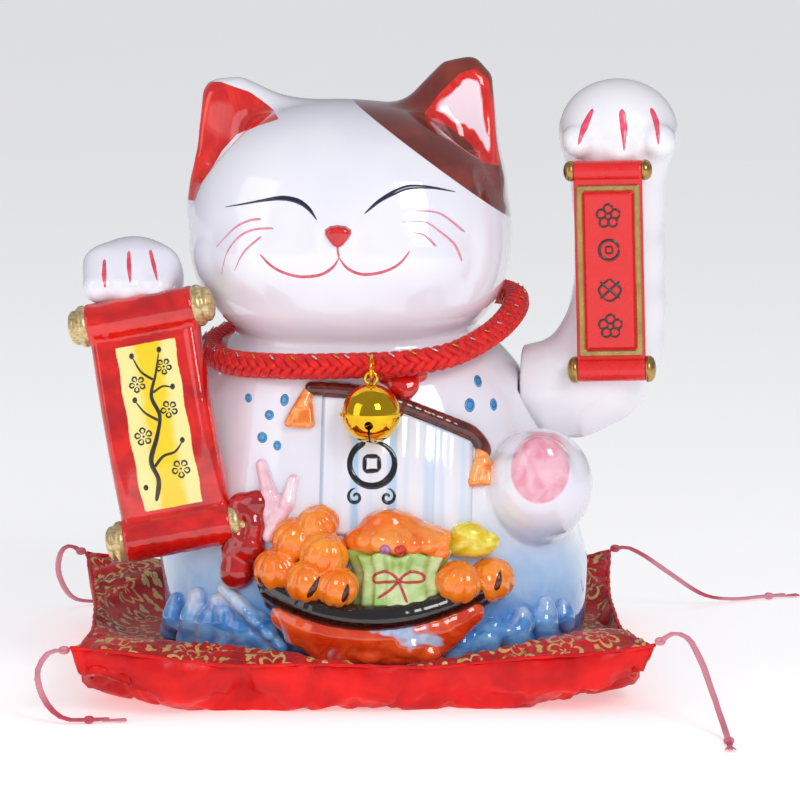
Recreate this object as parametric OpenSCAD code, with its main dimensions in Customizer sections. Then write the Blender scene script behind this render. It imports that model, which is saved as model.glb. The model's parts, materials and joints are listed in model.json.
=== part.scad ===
// Ceramic lucky-cat figurine with a swinging arm, on its cushion.
// Frame: millimetres, +Z up, the cat faces -Y, origin at the centre of the cushion's flat underside.

/* [Cushion] */
// Width and depth of the cushion between its seams
cushion_w = 222; // [214:1:230]
// Turn of the cushion under the cat, in degrees
cushion_turn = 7; // [0:1:9]
// Height of the flat seat that the cat's felt pads rest on
seat_z = 13; // [12.5:0.5:13]
// Thickness of the cushion's fabric
fabric_t = 0.8; // [0.6:0.1:1]

/* [Ceramic body] */
// Wall of the glazed shell
wall = 5; // [4:0.5:6]
// Half width of the head
head_rx = 64; // [60:0.5:65]
// Half depth of the head
head_ry = 52; // [48:0.5:54]
// Half height of the head
head_rz = 51; // [49:0.5:52]
// Sideways tilt of the head, in degrees
head_roll = 3; // [0:0.5:4]

/* [Swinging arm] */
// Height of the arm's axis
axis_z = 112.5; // [111:0.5:114]
// Wall of the two arm shells
arm_wall = 2; // [1.6:0.2:2.4]
// Diameter of the swing shaft
shaft_d = 4; // [3:0.5:5]

/* [Base] */
// Radius of the plastic base plate
plate_r = 50; // [48:1:51]
// Diameter of one battery cell
cell_d = 14.2; // [13.5:0.1:14.5]
// Length of one battery cell
cell_l = 50; // [48:0.5:50.5]

/* [Collar] */
// Thickness of the braided collar
rope_d = 9.6; // [8:0.2:10]
// Radius of the bell
bell_r = 11.4; // [9:0.1:11.5]

/* [Hidden] */
$fn = 48;
ball_fn = 12;                       // facets of the spheres inside hulls
gap = 0.05;                         // clearance between faces that only rest on each other

// Cushion
half_w = cushion_w / 2;
seam_z = 19;                        // height of the seam in the middle of a side
corner_z = 28;                      // height of the corner tips
grid_n = 12;                        // patches along each side of the panels
tassel_r = 1.4;                     // radius of a corner tassel

// Body: stations [height, centre x, half width, half depth], joined by straight sides
base_z = 14;                        // lower rim of the glazed shell
body_cy = 4;
body_p = 2.3;                       // exponent of the rounded outline
body_at = [[14, 8, 84, 68], [45, 8, 85, 71], [70, 6, 80, 68], [95, 5, 73, 62], [112, 4, 67.5, 57],
    [122, 3, 62, 54], [131, 2, 55, 48], [141, 1, 44, 38], [150, 1, 32, 28]];
head_c = [-1, -6, 177.5];
shoulder_x = 66;                    // flat of the round recess that the arm turns in
shoulder_r = 21;
shaft_y = 4;                        // the swing axis runs along X at this depth
ledge_z = 19;                       // underside of the ledge that the base plate is bedded on
open_r = 46;

// Base
plate_z = 16.2;
plate_t = 2;
plate_c = [8, 4];
door_z = 14.6;
door_t = 1.3;
door_w = 33;
door_l = 58;
cells_c = [-9, 1];                  // middle of the battery compartment
box_in_w = 2 * cell_d + 1.2;
box_in_l = cell_l + 4;
box_t = 1.5;
box_h = 17;
top_of_plate = plate_z + plate_t;
screw_at = [[22, -34], [-32, 4], [-9, -34], [43, 24]];

// Movement
upright_t = 3;
coil_c = [32, 4];
weight_z = 66;
weight_h = 20;
weight_off = 3;                     // the block sits back to balance the scroll on the arm's front

// ---------- shared geometry ----------
function powsign(v, e) = sign(v) * pow(abs(v), e);
function ring(rx, ry, p = 2.3, n = 36) =
    [for (i = [0:n - 1]) let (a = 360 * i / n) [rx * powsign(cos(a), 2 / p), ry * powsign(sin(a), 2 / p)]];
function lift(points, z, c = [0, 0]) = [for (q = points) [q[0] + c[0], q[1] + c[1], z]];
function station(k) = [for (s = body_at) [s[0], s[k]]];
function body_cx(z) = lookup(z, station(1));
function body_rx(z) = lookup(z, station(2));
function body_ry(z) = lookup(z, station(3));
// Depth of the body's front surface at a given width and height
function front_y(x, z) = body_cy - body_ry(z)
    * pow(max(0.02, 1 - pow(abs((x - body_cx(z)) / body_rx(z)), body_p)), 1 / body_p);
function unit(v) = v / norm(v);
function across(t, ref) = unit(cross(ref, t));
function mix(a, b, k) = a * (1 - k) + b * k;
// Point k of the way along a smooth curve through p[0]..p[3]; it runs from p[1] to p[2]
function smooth(p0, p1, p2, p3, k) = 0.5 * (2 * p1 + (p2 - p0) * k + (2 * p0 - 5 * p1 + 4 * p2 - p3) * k * k
    + (3 * p1 - p0 - 3 * p2 + p3) * k * k * k);
function open_curve(p, steps) = let (m = len(p) - 1) [
    for (i = [0:m - 1], s = [0:steps - 1])
        smooth(p[max(i - 1, 0)], p[i], p[i + 1], p[min(i + 2, m)], s / steps),
    p[m]];
function closed_curve(p, steps) = let (m = len(p)) [
    for (i = [0:m - 1], s = [0:steps - 1])
        smooth(p[(i + m - 1) % m], p[i], p[(i + 1) % m], p[(i + 2) % m], s / steps)];

// Closed solid through rings that have the same number of points each
module skin(rings) {
    n = len(rings[0]);
    m = len(rings);
    sides = [for (j = [0:m - 2], i = [0:n - 1]) let (a = j * n + i, b = j * n + (i + 1) % n)
        each [[a, a + n, b + n], [a, b + n, b]]];
    caps = [[for (i = [0:n - 1]) i], [for (i = [n - 1:-1:0]) (m - 1) * n + i]];
    polyhedron([for (r = rings) each r], concat(sides, caps));
}

// Round rod along a list of points, with a radius for each
module rod(path, radii, n = 8, ref = [0, 0, 1]) {
    m = len(path) - 1;
    skin([for (i = [0:m]) let (t = unit(path[min(i + 1, m)] - path[max(i - 1, 0)]),
        u = across(t, ref), v = cross(t, u), r = is_list(radii) ? radii[i] : radii)
        [for (k = [0:n - 1]) path[i] + r * (cos(360 * k / n) * u + sin(360 * k / n) * v)]]);
}

// Endless round rod along a closed list of points
module rope_loop(path, r, n) {
    m = len(path);
    pts = [for (i = [0:m - 1]) let (t = unit(path[(i + 1) % m] - path[(i + m - 1) % m]),
        u = across(t, [0, 0, 1]), v = cross(t, u))
        each [for (k = [0:n - 1]) path[i] + r * (cos(360 * k / n) * u + sin(360 * k / n) * v)]];
    polyhedron(pts, [for (j = [0:m - 1], k = [0:n - 1])
        let (a = j * n + k, b = j * n + (k + 1) % n, c = ((j + 1) % m) * n + k,
            d = ((j + 1) % m) * n + (k + 1) % n)
        each [[a, c, d], [a, d, b]]]);
}

module ball(c, r, squash = [1, 1, 1]) {
    translate(c) scale(squash * r) sphere(r = 1, $fn = ball_fn);
}

// Rounded rod between two points, as a hull of two balls
module link(a, b, ra, rb) {
    hull() {
        ball(a, ra);
        ball(b, rb);
    }
}

module chain(points, radii) {
    for (i = [0:len(points) - 2]) link(points[i], points[i + 1], radii[i], radii[i + 1]);
}

module along_x(at, r, x0, x1) {
    translate([x0, at[0], at[1]]) rotate([0, 90, 0]) cylinder(r = r, h = x1 - x0);
}

// ---------- ceramic cat ----------
module body_hull(inset = 0, z0 = 14, z1 = 150) {
    skin([for (s = body_at) let (z = min(max(s[0], z0), z1))
        lift(ring(s[2] - inset, s[3] - inset, body_p), z, [s[1], body_cy])]);
}

module head_hull(inset = 0) {
    steps = 16;
    translate(head_c) rotate([0, head_roll, 0])
        skin([for (i = [1:steps - 1]) let (a = -90 + 180 * i / steps, w = pow(cos(a), 0.86))
            lift(ring((head_rx - inset) * w * (1 - 0.03 * sin(a)), (head_ry - inset) * w, 2.35),
                (head_rz - inset) * powsign(sin(a), 0.86))]);
}

module ear(outer, tip, inner) {
    hull() {
        ball(outer, 8);
        ball(tip, 4.5);
        ball(inner, 9);
        ball(mix(outer, inner, 0.5) + [0, 4, -8], 12);
    }
}

paw_c = [-85.5, -24, 158];          // static paw that holds the big scroll
foot_c = [76.5, -42, 81];           // raised hind foot, sole to the front

module static_arm() {
    chain([[-48, 8, 112], [-66, 2, 116], [-80, -8, 128], [-86, -18, 143]], [17, 15, 14, 13]);
    for (dx = [-11, 0, 11]) link([paw_c[0] + dx, -34, 166], [paw_c[0] + dx, -39, 152], 7, 5.5);
    ball(paw_c, 19, [1, 0.85, 0.9]);
}

module raised_foot(inset = 0) {
    hull() {
        ball(foot_c, 21.5 - inset, [0.97, 1, 1]);
        ball([64, -14, 52], 22 - inset);
    }
    link([58, -8, 40], [64, -10, 26], 24 - inset, 11 - inset);
}

module tail() {
    chain([[-20, 62, 34], [-34, 70, 44], [-44, 68, 58]], [11, 9.5, 8]);
}

// Outer shape of the whole glazed shell, without its openings
module cat_outside() {
    body_hull();
    head_hull();
    ear([-56, -1, 203], [-48, 0, 233.5], [-26, -1, 218]);
    ear([24, -1, 218], [43, 0, 241], [53, -1, 205]);
    static_arm();
    raised_foot();
    tail();
}

module shoulder_recess() {
    translate([shoulder_x, shaft_y, axis_z]) rotate([0, 90, 0]) cylinder(r = shoulder_r, h = 30);
}

module ceramic_body() {
    color("white") difference() {
        cat_outside();
        body_hull(inset = wall, z0 = ledge_z + 3, z1 = 148);
        head_hull(inset = wall);
        raised_foot(inset = wall);
        translate([plate_c[0], plate_c[1], base_z - 1]) cylinder(r = open_r, h = 20);
        translate([plate_c[0], plate_c[1], base_z - 1]) cylinder(r = plate_r + 0.5, h = ledge_z - base_z + 1);
        translate([0, 0, base_z - 30]) linear_extrude(30) square(300, center = true);
        shoulder_recess();
        along_x([shaft_y, axis_z], shaft_d / 2 + 2, 30, 80);
    }
}

// Scroll held by the static paw: leaning panel with a roll at each end
scroll_c = [-72, -49, 104];
scroll_w = 48;
scroll_half = 43;                   // from the middle to each roll's axis
roll_r = 8;

module in_scroll_frame() {
    translate(scroll_c) rotate([-9, -11, 0]) children();
}

module scroll_roll() {
    in_scroll_frame() {
        for (i = [0:7]) {
            a = -scroll_half + i * scroll_half / 4;
            b = a + scroll_half / 4;
            hull() for (z = [a, b]) translate([0, 3 - 5 * (1 - pow(z / scroll_half, 2)), z])
                rotate([0, 90, 0]) cylinder(r = 6, h = scroll_w - 4, center = true, $fn = ball_fn);
        }
        for (z = [-scroll_half, scroll_half]) translate([0, 0, z])
            rotate([0, 90, 0]) cylinder(r = roll_r, h = scroll_w - 4, center = true, $fn = 32);
    }
}

module scroll_knobs(extra = 0) {
    in_scroll_frame() for (z = [-scroll_half, scroll_half], side = [-1, 1])
        translate([side * (scroll_w / 2 - 2), 0, z]) rotate([0, 90 * side, 0]) rotate_extrude($fn = 32)
            polygon([[0, 0], [7 + extra, 0], [8.4 + extra, 1.5], [8.4 + extra, 3.5], [6 + extra, 6 + extra],
                [0, 7 + extra]]);
}

// One plain block round the scroll, which the corals are trimmed to
module scroll_space() {
    hull() {
        scroll_roll();
        scroll_knobs(extra = 0.2);
    }
}

module big_scroll() {
    color("crimson") difference() {
        scroll_roll();
        body_hull();
        raised_foot();
        static_arm();
    }
}

module big_scroll_knobs() {
    color("goldenrod") difference() {
        scroll_knobs();
        body_hull();
    }
}

// ---------- treasure-ship relief on the chest ----------
// A point on the chest at width x and height z, standing off the surface by d
function on_chest(x, z, d = 0) = [x, front_y(x, z) - d, z];

ship_x0 = -26;
ship_x1 = 56;
function rail_z(x) = 32 + 9.5 * pow((x - 13) / 41, 2);
function rail_at(i, n = 8) = let (x = mix(ship_x0, ship_x1, i / n))
    [x, front_y(x, 40) - 4 - 9 * cos(90 * (x - 15) / 44), rail_z(x)];

module ship_rail() {
    color("black") difference() {
        for (i = [0:7]) link(rail_at(i), rail_at(i + 1), 5.6, 5.6);
        body_hull();
    }
}

module ship_hull() {
    color("orangered") difference() {
        for (i = [1:8]) hull() for (k = [i - 0.9, i - 0.1]) {
            ball(rail_at(k, 9) + [0, 1.5, -7], 5);
            ball([mix(-8, 38, k / 9), front_y(14, 20) - 8, base_z + 4.5], 4);
        }
        body_hull();
        ship_rail();
    }
}

// Fruit in the ship: [x, z, stand-off, radius]
orange_at = [[-24, 50, 4, 9.5], [-17, 61.4, 2.2, 9.3], [-5, 57.2, 8.7, 9.6], [-11.3, 46.6, 9, 9.1], [0.4, 45.4, 12, 8.6],
    [-8.2, 67.5, 2, 8.4], [46.6, 46.3, 9, 9.1], [58.7, 45.8, 4, 9.4]];

module oranges() {
    color("darkorange") difference() {
        for (o = orange_at) hull() {
            ball(on_chest(o[0], o[1], o[2]), o[3]);
            ball(on_chest(mix(o[0], -10, 0.1), o[1] - 1, -6), 0.86 * o[3]);
        }
        body_hull();
        ship_rail();
    }
}

pouch_c = [23, -70, 47];

module pouch() {
    color("yellowgreen") difference() {
        for (i = [0:8]) let (a = 180 + 22.5 * i) hull() {
            translate(pouch_c) ball([13.5 * cos(a), 10 * sin(a), -8], 4.5);
            translate(pouch_c) ball([16.5 * cos(a), 11 * sin(a), 9], 4);
            translate(pouch_c) ball([0, 6, 0], 11);
        }
        body_hull();
        ship_rail();
        ship_hull();
        oranges();
    }
}

module pouch_filling() {
    color("orange") difference() {
        for (i = [0:7]) let (a = 180 + 25 * i) hull() {
            translate(pouch_c) ball([12.5 * cos(a), 3 + 9 * sin(a), 14], 5);
            translate(pouch_c) ball([0, 4, 18], 7);
        }
        body_hull();
        pouch();
        oranges();
    }
}

module gold_ingot() {
    color("gold") difference() {
        for (i = [0:7]) let (a = 45 * i) hull() {
            ball(on_chest(50 + 6 * cos(a), 61 + 3 * sin(a), 1), 3.6);
            ball(on_chest(50, 62, 3), 4);
        }
        body_hull();
        raised_foot();
        oranges();
        pouch_filling();
        pouch();
    }
}

module red_coral() {
    color("firebrick") difference() {
        chain([for (q = [[-32, 76], [-35, 72], [-38, 68], [-37, 63], [-41, 59], [-38, 55], [-42, 51], [-39, 48],
            [-41, 46]]) on_chest(q[0], q[1], 2)], [4.5, 6, 6.5, 6, 6.5, 6.5, 7, 6.5, 5]);
        body_hull();
        oranges();
        scroll_space();
    }
}

module pink_coral() {
    root = on_chest(-27, 67, 1);
    color("pink") difference() {
        for (q = [[-32, 88], [-21, 84], [-26, 76], [-34, 80]]) {
            link(root, on_chest(mix(q[0], -27, 0.5), mix(q[1], 67, 0.5), 1.5), 3.2, 3);
            link(on_chest(mix(q[0], -27, 0.5), mix(q[1], 67, 0.5), 1.5), on_chest(q[0], q[1], 0.5), 3, 2);
        }
        body_hull();
        oranges();
        red_coral();
        scroll_space();
    }
}

spar_at = [[-12, 119], [2, 118.5], [14, 116], [25, 112.5], [35, 108.5], [44, 104.5], [50, 101.5], [54, 97],
    [55, 94]];

module spar() {
    color("saddlebrown") difference() {
        chain([for (q = spar_at) on_chest(q[0], q[1], 0)], [2.6, 2.6, 2.4, 2.6, 2.6, 2.6, 2.6, 2.6, 2]);
        body_hull();
    }
}

sail_t = 1.8;

// Sheet with shallow upright pleats that follows the chest from the spar down to the cargo
module sail() {
    nx = 24;
    nz = 5;
    function at(i, j, d) = let (x = mix(-8, 51, i / nx), top = lookup(x, spar_at) - 3.4)
        on_chest(x, mix(67, top, j / nz), d);
    front = [for (j = [0:nz], i = [0:nx]) at(i, j, sail_t + 0.7 * cos(360 * i / 4))];
    back = [for (j = [0:nz], i = [0:nx]) at(i, j, gap)];
    w = nx + 1;
    f = len(front);
    faces = [for (j = [0:nz - 1], i = [0:nx - 1]) let (a = j * w + i)
        each [[a, a + w, a + w + 1], [a, a + w + 1, a + 1],
            [f + a, f + a + w + 1, f + a + w], [f + a, f + a + 1, f + a + w + 1]]];
    rim = concat([for (i = [0:nx - 1]) i], [for (j = [0:nz - 1]) j * w + nx],
        [for (i = [nx:-1:1]) nz * w + i], [for (j = [nz:-1:1]) j * w]);
    edge = [for (i = [0:len(rim) - 1]) let (a = rim[i], b = rim[(i + 1) % len(rim)])
        each [[a, b, b + f], [a, b + f, a + f]]];
    color("whitesmoke") polyhedron(concat(front, back), concat(faces, edge));
}

module sail_tassels() {
    color("orange") difference() {
        for (q = [[-14, 114], [54, 91]]) for (dx = [-3, -1, 1, 3]) hull() {
            ball(on_chest(q[0] + dx * 0.2, q[1], 0), 2.2);
            ball(on_chest(q[0] + dx, q[1] - 9, 0.2), 2.4);
        }
        body_hull();
        raised_foot();
        spar();
        sail();
    }
}

module pennant() {
    color("red") difference() {
        for (i = [0:7]) link(on_chest(15 + i * 1.4, 123.5 - 0.5 * abs(i - 4), 0),
            on_chest(22 + i * 0.15, 117.5, 0), 2.4, 2);
        body_hull();
        spar();
        collar_rope();
    }
}

// Waves: curling ridges around the lower front, [x, z at the foot, x and z at the crest, radius]
wave_at = [[-68, 20, -62, 50, 5], [-58, 20, -52, 44, 6], [-47, 19, -42, 40, 6], [-36, 18, -33, 36, 6],
    [-27, 18, -25, 28, 5], [48, 19, 53, 27, 5], [60, 20, 62, 34, 5], [73, 22, 70, 32, 4], [82, 24, 80, 36, 4]];

module waves() {
    color("cornflowerblue") difference() {
        for (w = wave_at) hull() {
            ball(on_chest(w[0], w[1], 0), w[4]);
            ball(on_chest(w[2], w[3], -1), w[4] * 0.7);
        }
        body_hull();
        raised_foot();
        ship_rail();
        ship_hull();
        oranges();
        red_coral();
        big_scroll_knobs();
        translate([0, 0, base_z - 30]) linear_extrude(30) square(300, center = true);
    }
}

// ---------- collar and bell ----------
collar_at = [[2, -55.5, 128.5], [24, -54, 129.5], [43, -46, 132.5], [58, -26, 139.5], [64.5, -1, 147],
    [59, 24, 149], [40, 41, 148], [5, 47, 145], [-30, 41, 139], [-52, 21, 132], [-57.5, -5, 129],
    [-47, -34, 127], [-25, -51, 127.5]];
collar_path = closed_curve(collar_at, 3);
ring_c = [12.8, -64.6, 128.6];       // the bell swings about X through the middle of the jump ring
ring_r = 5;
ring_wire = 0.55;
bell_eye = [12.8, -68, 125.3];       // middle of the bell's eye, which slides round the ring's wire
eye_r = 2.3;
bell_c = bell_eye - [0, 0, bell_r + eye_r];
bell_wall = 0.7;

module collar_rope() {
    color("red") rope_loop(collar_path, rope_d / 2, 10);
}

// Crimped end cap where the rope's two ends meet at the nape
module collar_clasp() {
    color("darkred") translate([5, 47, 145]) rotate([0, 85, 0])
        difference() {
            cylinder(r = rope_d / 2 + 1.4, h = 12, center = true);
            cylinder(r = rope_d / 2 + 0.4, h = 14, center = true);
        }
}

module jump_ring() {
    color("gold") translate(ring_c) rotate([0, 90, 0]) rotate_extrude()
        translate([ring_r, 0]) rotate(11.25) circle(r = ring_wire, $fn = 16);
}

module bell_half() {
    rotate_extrude() difference() {
        union() {
            circle(r = bell_r);
            translate([0, -0.6]) square([bell_r + 0.9, 1.2]);
        }
        circle(r = bell_r - bell_wall);
        translate([-40, -40]) square([40, 80]);
        translate([0, -40]) square([40, 40]);
    }
}

module bell_upper() {
    color("gold") {
        translate(bell_c) bell_half();
        translate(bell_eye) rotate([90, 0, 0]) rotate_extrude() translate([eye_r, 0])
            circle(r = ring_wire, $fn = 16);
    }
}

module bell_lower() {
    color("gold") translate(bell_c) difference() {
        mirror([0, 0, 1]) bell_half();
        translate([0, 0, -bell_r]) linear_extrude(bell_r - 2.4) square([0.9, 3 * bell_r], center = true);
        translate([0, 0, -3.4]) rotate([90, 0, 0]) cylinder(r = 1.7, h = 3 * bell_r, center = true);
    }
}

module bell_pellet() {
    color("gray") translate(bell_c - [0, 0, bell_r - bell_wall - 3 - gap]) sphere(r = 3);
}

// ---------- base, power and movement ----------
module on_plate(z) {
    translate([plate_c[0], plate_c[1], z]) children();
}

module base_plate() {
    color("ivory") difference() {
        union() {
            on_plate(plate_z) cylinder(r = plate_r, h = plate_t);
            for (side = [-1, 1]) translate([cells_c[0] + side * (door_w / 2 + 1.1), cells_c[1] + 3, 14.15])
                linear_extrude(2.2) square([1.8, door_l - 8], center = true);
            for (side = [-1, 1]) translate([cells_c[0] + side * (door_w / 2 - 0.3), cells_c[1] + 3, 14.15])
                linear_extrude(0.35) square([3.6, door_l - 8], center = true);
        }
        translate([cells_c[0], cells_c[1], 0]) linear_extrude(40) square([box_in_w, box_in_l], center = true);
        translate([switch_c[0], switch_c[1], 0]) linear_extrude(40) square([5, 10], center = true);
        for (s = screw_at) translate([s[0], s[1], 0]) cylinder(r = 1.6, h = 40);
        translate([cells_c[0], cells_c[1] + 6, door_z - 0.1]) linear_extrude(door_t + 0.4)
            square([door_w + 0.3, 90], center = true);
    }
}

module base_seal() {
    color("lightgray") on_plate(top_of_plate) difference() {
        cylinder(r = plate_r - 0.5, h = ledge_z - top_of_plate);
        translate([0, 0, -1]) cylinder(r = open_r + 0.5, h = 4);
    }
}

// Screws from below into the bosses of the battery box, the frame and the board carrier
module base_screws() {
    color("silver") for (s = screw_at) translate([s[0], s[1], 0]) {
        translate([0, 0, plate_z - 1.6]) cylinder(r = 2.8, h = 1.6);
        translate([0, 0, plate_z]) cylinder(r = 1.4, h = 9);
    }
}

module felt_pads() {
    color("dimgray") for (a = [20:40:340]) translate([8 + 66 * cos(a), body_cy + 57.5 * sin(a), seat_z + gap])
        cylinder(r = 5, h = base_z - seat_z - gap);
}

module battery_box() {
    out_w = box_in_w + 2 * box_t;
    out_l = box_in_l + 2 * box_t;
    color("ivory") difference() {
        union() {
            translate([cells_c[0], cells_c[1], top_of_plate]) linear_extrude(box_h)
                square([out_w, out_l], center = true);
            for (s = [screw_at[1], screw_at[2]]) translate([s[0], s[1], top_of_plate]) cylinder(r = 4, h = 10);
            translate([-29, screw_at[1][1], top_of_plate]) linear_extrude(4) square([9, 8], center = true);
            translate([screw_at[2][0], -30, top_of_plate]) linear_extrude(4) square([8, 9], center = true);
        }
        translate([cells_c[0], cells_c[1], top_of_plate - 1]) linear_extrude(box_h - box_t + 1)
            square([box_in_w, box_in_l], center = true);
        for (s = [screw_at[1], screw_at[2]]) translate([s[0], s[1], 0]) cylinder(r = 1.4, h = 60);
    }
}

cell_z = top_of_plate + 0.6 + cell_d / 2;
cell_x = [cells_c[0] - cell_d / 2 - 0.2, cells_c[0] + cell_d / 2 + 0.2];

module battery_cells() {
    color("seagreen") for (x = cell_x) {
        translate([x, cells_c[1], cell_z]) rotate([90, 0, 0]) cylinder(r = cell_d / 2, h = cell_l - 1.5, center = true);
        dir = x < cells_c[0] ? 1 : -1;
        translate([x, cells_c[1] + dir * (cell_l / 2 - 0.75), cell_z]) rotate([-90 * dir, 0, 0])
            cylinder(r = 2.6, h = 1.5);
    }
}

module battery_contacts() {
    color("silver") for (side = [-1, 1]) {
        translate([cells_c[0], cells_c[1] + side * (box_in_l / 2 - 0.2), cell_z])
            linear_extrude(10, center = true) square([2 * cell_d - 3, 0.4], center = true);
        x = cell_x[side > 0 ? 1 : 0];
        translate([x, cells_c[1] + side * (box_in_l / 2 - 0.4), cell_z]) rotate([90 * side, 0, 0])
            cylinder(r1 = 4, r2 = 2.2, h = 1.8);
    }
}

module battery_door() {
    color("ivory") difference() {
        translate([cells_c[0], cells_c[1], door_z]) linear_extrude(door_t)
            square([door_w, door_l], center = true);
        for (i = [0:4]) translate([cells_c[0], cells_c[1] - 24 + 2.4 * i, door_z - 0.4])
            linear_extrude(0.8) square([16, 1.2], center = true);
    }
}

switch_c = [33, -20];

module switch_body() {
    color("black") translate([switch_c[0], switch_c[1], top_of_plate]) difference() {
        linear_extrude(6) square([9, 16], center = true);
        translate([0, 0, -1]) linear_extrude(4) square([5, 10], center = true);
    }
}

module switch_slider() {
    color("dimgray") translate([switch_c[0], switch_c[1] - 2, 0]) {
        translate([0, 0, 15]) linear_extrude(4.6) square([3.6, 4], center = true);
        translate([0, 0, 19]) linear_extrude(1.8) square([4.6, 5], center = true);
    }
}

module upright(x) {
    difference() {
        translate([x, shaft_y, axis_z]) rotate([0, 90, 0]) linear_extrude(upright_t)
            union() {
                circle(r = 9);
                translate([0, -7]) square([axis_z - top_of_plate - 1, 14]);
            }
        along_x([shaft_y, axis_z], 4, x - 1, x + 5);
    }
}

module movement_frame() {
    foot_t = 3;
    color("lightsteelblue") difference() {
        union() {
            translate([32, shaft_y, top_of_plate]) linear_extrude(foot_t) square([38, 24], center = true);
            translate([38, 16, top_of_plate]) linear_extrude(foot_t) square([14, 22], center = true);
            translate([22, -21, top_of_plate]) linear_extrude(foot_t) square([8, 28], center = true);
            for (s = [screw_at[0], screw_at[3]]) translate([s[0], s[1], top_of_plate]) cylinder(r = 4, h = 10);
            for (x = [15, 46]) upright(x);
        }
        for (s = [screw_at[0], screw_at[3]]) translate([s[0], s[1], 0]) cylinder(r = 1.4, h = 60);
    }
}

module bearing_bushes() {
    color("burlywood") for (x = [15, 46]) difference() {
        union() {
            along_x([shaft_y, axis_z], 4, x, x + upright_t);
            along_x([shaft_y, axis_z], 5.4, x + upright_t, x + upright_t + 1);
        }
        along_x([shaft_y, axis_z], shaft_d / 2 + 0.06, x - 1, x + 6);
    }
}

module coil_bobbin() {
    color("black") translate([coil_c[0], coil_c[1], top_of_plate + 3]) difference() {
        union() {
            cylinder(r = 4.5, h = 40);
            cylinder(r = 8, h = 20);
            for (z = [20, 38.5]) translate([0, 0, z]) cylinder(r = 10.5, h = 1.5);
        }
        translate([0, 0, -1]) cylinder(r = 3, h = 42);
    }
}

module coil_winding() {
    color("chocolate") translate([coil_c[0], coil_c[1], top_of_plate + 24.5]) difference() {
        cylinder(r = 9.6, h = 17);
        translate([0, 0, -1]) cylinder(r = 4.5, h = 19);
    }
}

module coil_core() {
    color("gray") translate([coil_c[0], coil_c[1], top_of_plate + 3]) cylinder(r = 3, h = 40);
}

module circuit_board() {
    color("darkgreen") translate([19, 34, top_of_plate]) {
        translate([0, 0, 3]) linear_extrude(1.2) square([22, 14], center = true);
        for (x = [-8, 8]) translate([x, 0, 0]) cylinder(r = 2, h = 3);
        translate([2, 0, 4.2]) linear_extrude(1.6) square([6, 5], center = true);
    }
}

lead_routes = [
    [[4, 25.8, 35.4], [5, 29, 38], [8, 32, 34], [10, 34, 26], [10.5, 34, 22.6]],
    [[26, 34, 22.6], [30, 34, 30], [33, 24, 40], [33, 18, 43], [32.6, 15.2, 42]],
    [[33, -15, 24.4], [34, -13, 32], [24, -15, 38], [12, -6, 38], [10, 12, 36], [13, 26, 28], [15, 31, 22.6]]];

module leads() {
    color("red") for (route = lead_routes) rod(open_curve(route, 3), 0.6, 6, [0.3, 0.2, 1]);
}

// ---------- swinging arm ----------
// Stations along the arm: [x, z, radius across, radius in depth, lean of the section in degrees]
arm_at = [[67, 112.5, 17, 17, 90], [76, 112.5, 18.5, 17.5, 84], [87, 114, 21, 18, 62], [96, 120, 22, 18.5, 42],
    [102, 131, 20.5, 18.5, 20], [105, 146, 18.5, 18, 6], [105.5, 168, 17.5, 17, 0], [105, 190, 18, 17, 0],
    [104.5, 206, 21, 18, 0], [104, 220, 23.2, 20, 0], [104, 229, 19.5, 17, 0], [104, 232.5, 15, 13, 0],
    [104, 234.6, 10.5, 9, 0], [104, 235.4, 7, 6, 0]];
tip_hole = 0.15;                    // what is left of the cavity where the wall closes over the tip

// Share of the radius that the arm's cavity takes at station i
function cavity(i) = i < 11 ? arm_wall : i == 11 ? 2.2 * arm_wall : 99;
function arm_point(s, a, inset) = let (r = max(tip_hole, s[2] - inset), d = max(tip_hole, s[3] - inset))
    [s[0] + r * cos(a) * cos(s[4]), shaft_y + d * sin(a), s[1] - r * cos(a) * sin(s[4])];

module arm_shell(from) {
    n = 12;
    skin([for (i = [0:len(arm_at) - 1]) concat(
        [for (k = [0:n]) arm_point(arm_at[i], from + 180 * k / n, 0)],
        [for (k = [n:-1:0]) arm_point(arm_at[i], from + 180 * k / n, cavity(i))])]);
}

module arm_solid() {
    skin([for (s = arm_at) [for (k = [0:23]) arm_point(s, 15 * k, 0)]]);
}

module arm_front_shell() {
    color("white") arm_shell(180);
}

module arm_back_shell() {
    color("white") arm_shell(0);
}

arm_scroll_c = [102.5, -19.2, 163];
arm_scroll_w = 27;
arm_scroll_half = 38.5;

module in_arm_scroll_frame() {
    translate(arm_scroll_c) rotate([0, -1.5, 0]) children();
}

module arm_scroll() {
    color("red") difference() {
        in_arm_scroll_frame() {
            for (i = [0:7]) let (z = -arm_scroll_half + i * arm_scroll_half / 4)
                hull() for (k = [0, 1]) translate([0, 0, z + k * arm_scroll_half / 4])
                    rotate([0, 90, 0]) cylinder(r = 1.8, h = arm_scroll_w, center = true, $fn = 12);
            for (z = [-arm_scroll_half - 1, arm_scroll_half + 1]) translate([0, 0, z])
                rotate([0, 90, 0]) cylinder(r = 4.6, h = arm_scroll_w, center = true, $fn = 32);
            for (z = [-26, 26]) translate([0, 5, z]) cube([12, 9, 8], center = true);
        }
        arm_solid();
    }
}

module arm_scroll_frame() {
    color("gold") {
        in_arm_scroll_frame() translate([0, -1.85, 0]) rotate([90, 0, 0]) linear_extrude(1.1) difference() {
            square([arm_scroll_w - 1.5, 68], center = true);
            square([arm_scroll_w - 6, 63.5], center = true);
        }
    }
}

module arm_scroll_knobs() {
    color("goldenrod") in_arm_scroll_frame() for (z = [-arm_scroll_half - 1, arm_scroll_half + 1], side = [-1, 1])
        translate([side * arm_scroll_w / 2, 0, z]) rotate([0, 90 * side, 0])
            rotate_extrude($fn = 32) polygon([[0, 0], [4, 0], [4.8, 0.8], [4.8, 1.8], [3.4, 3.4], [0, 4]]);
}

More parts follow.
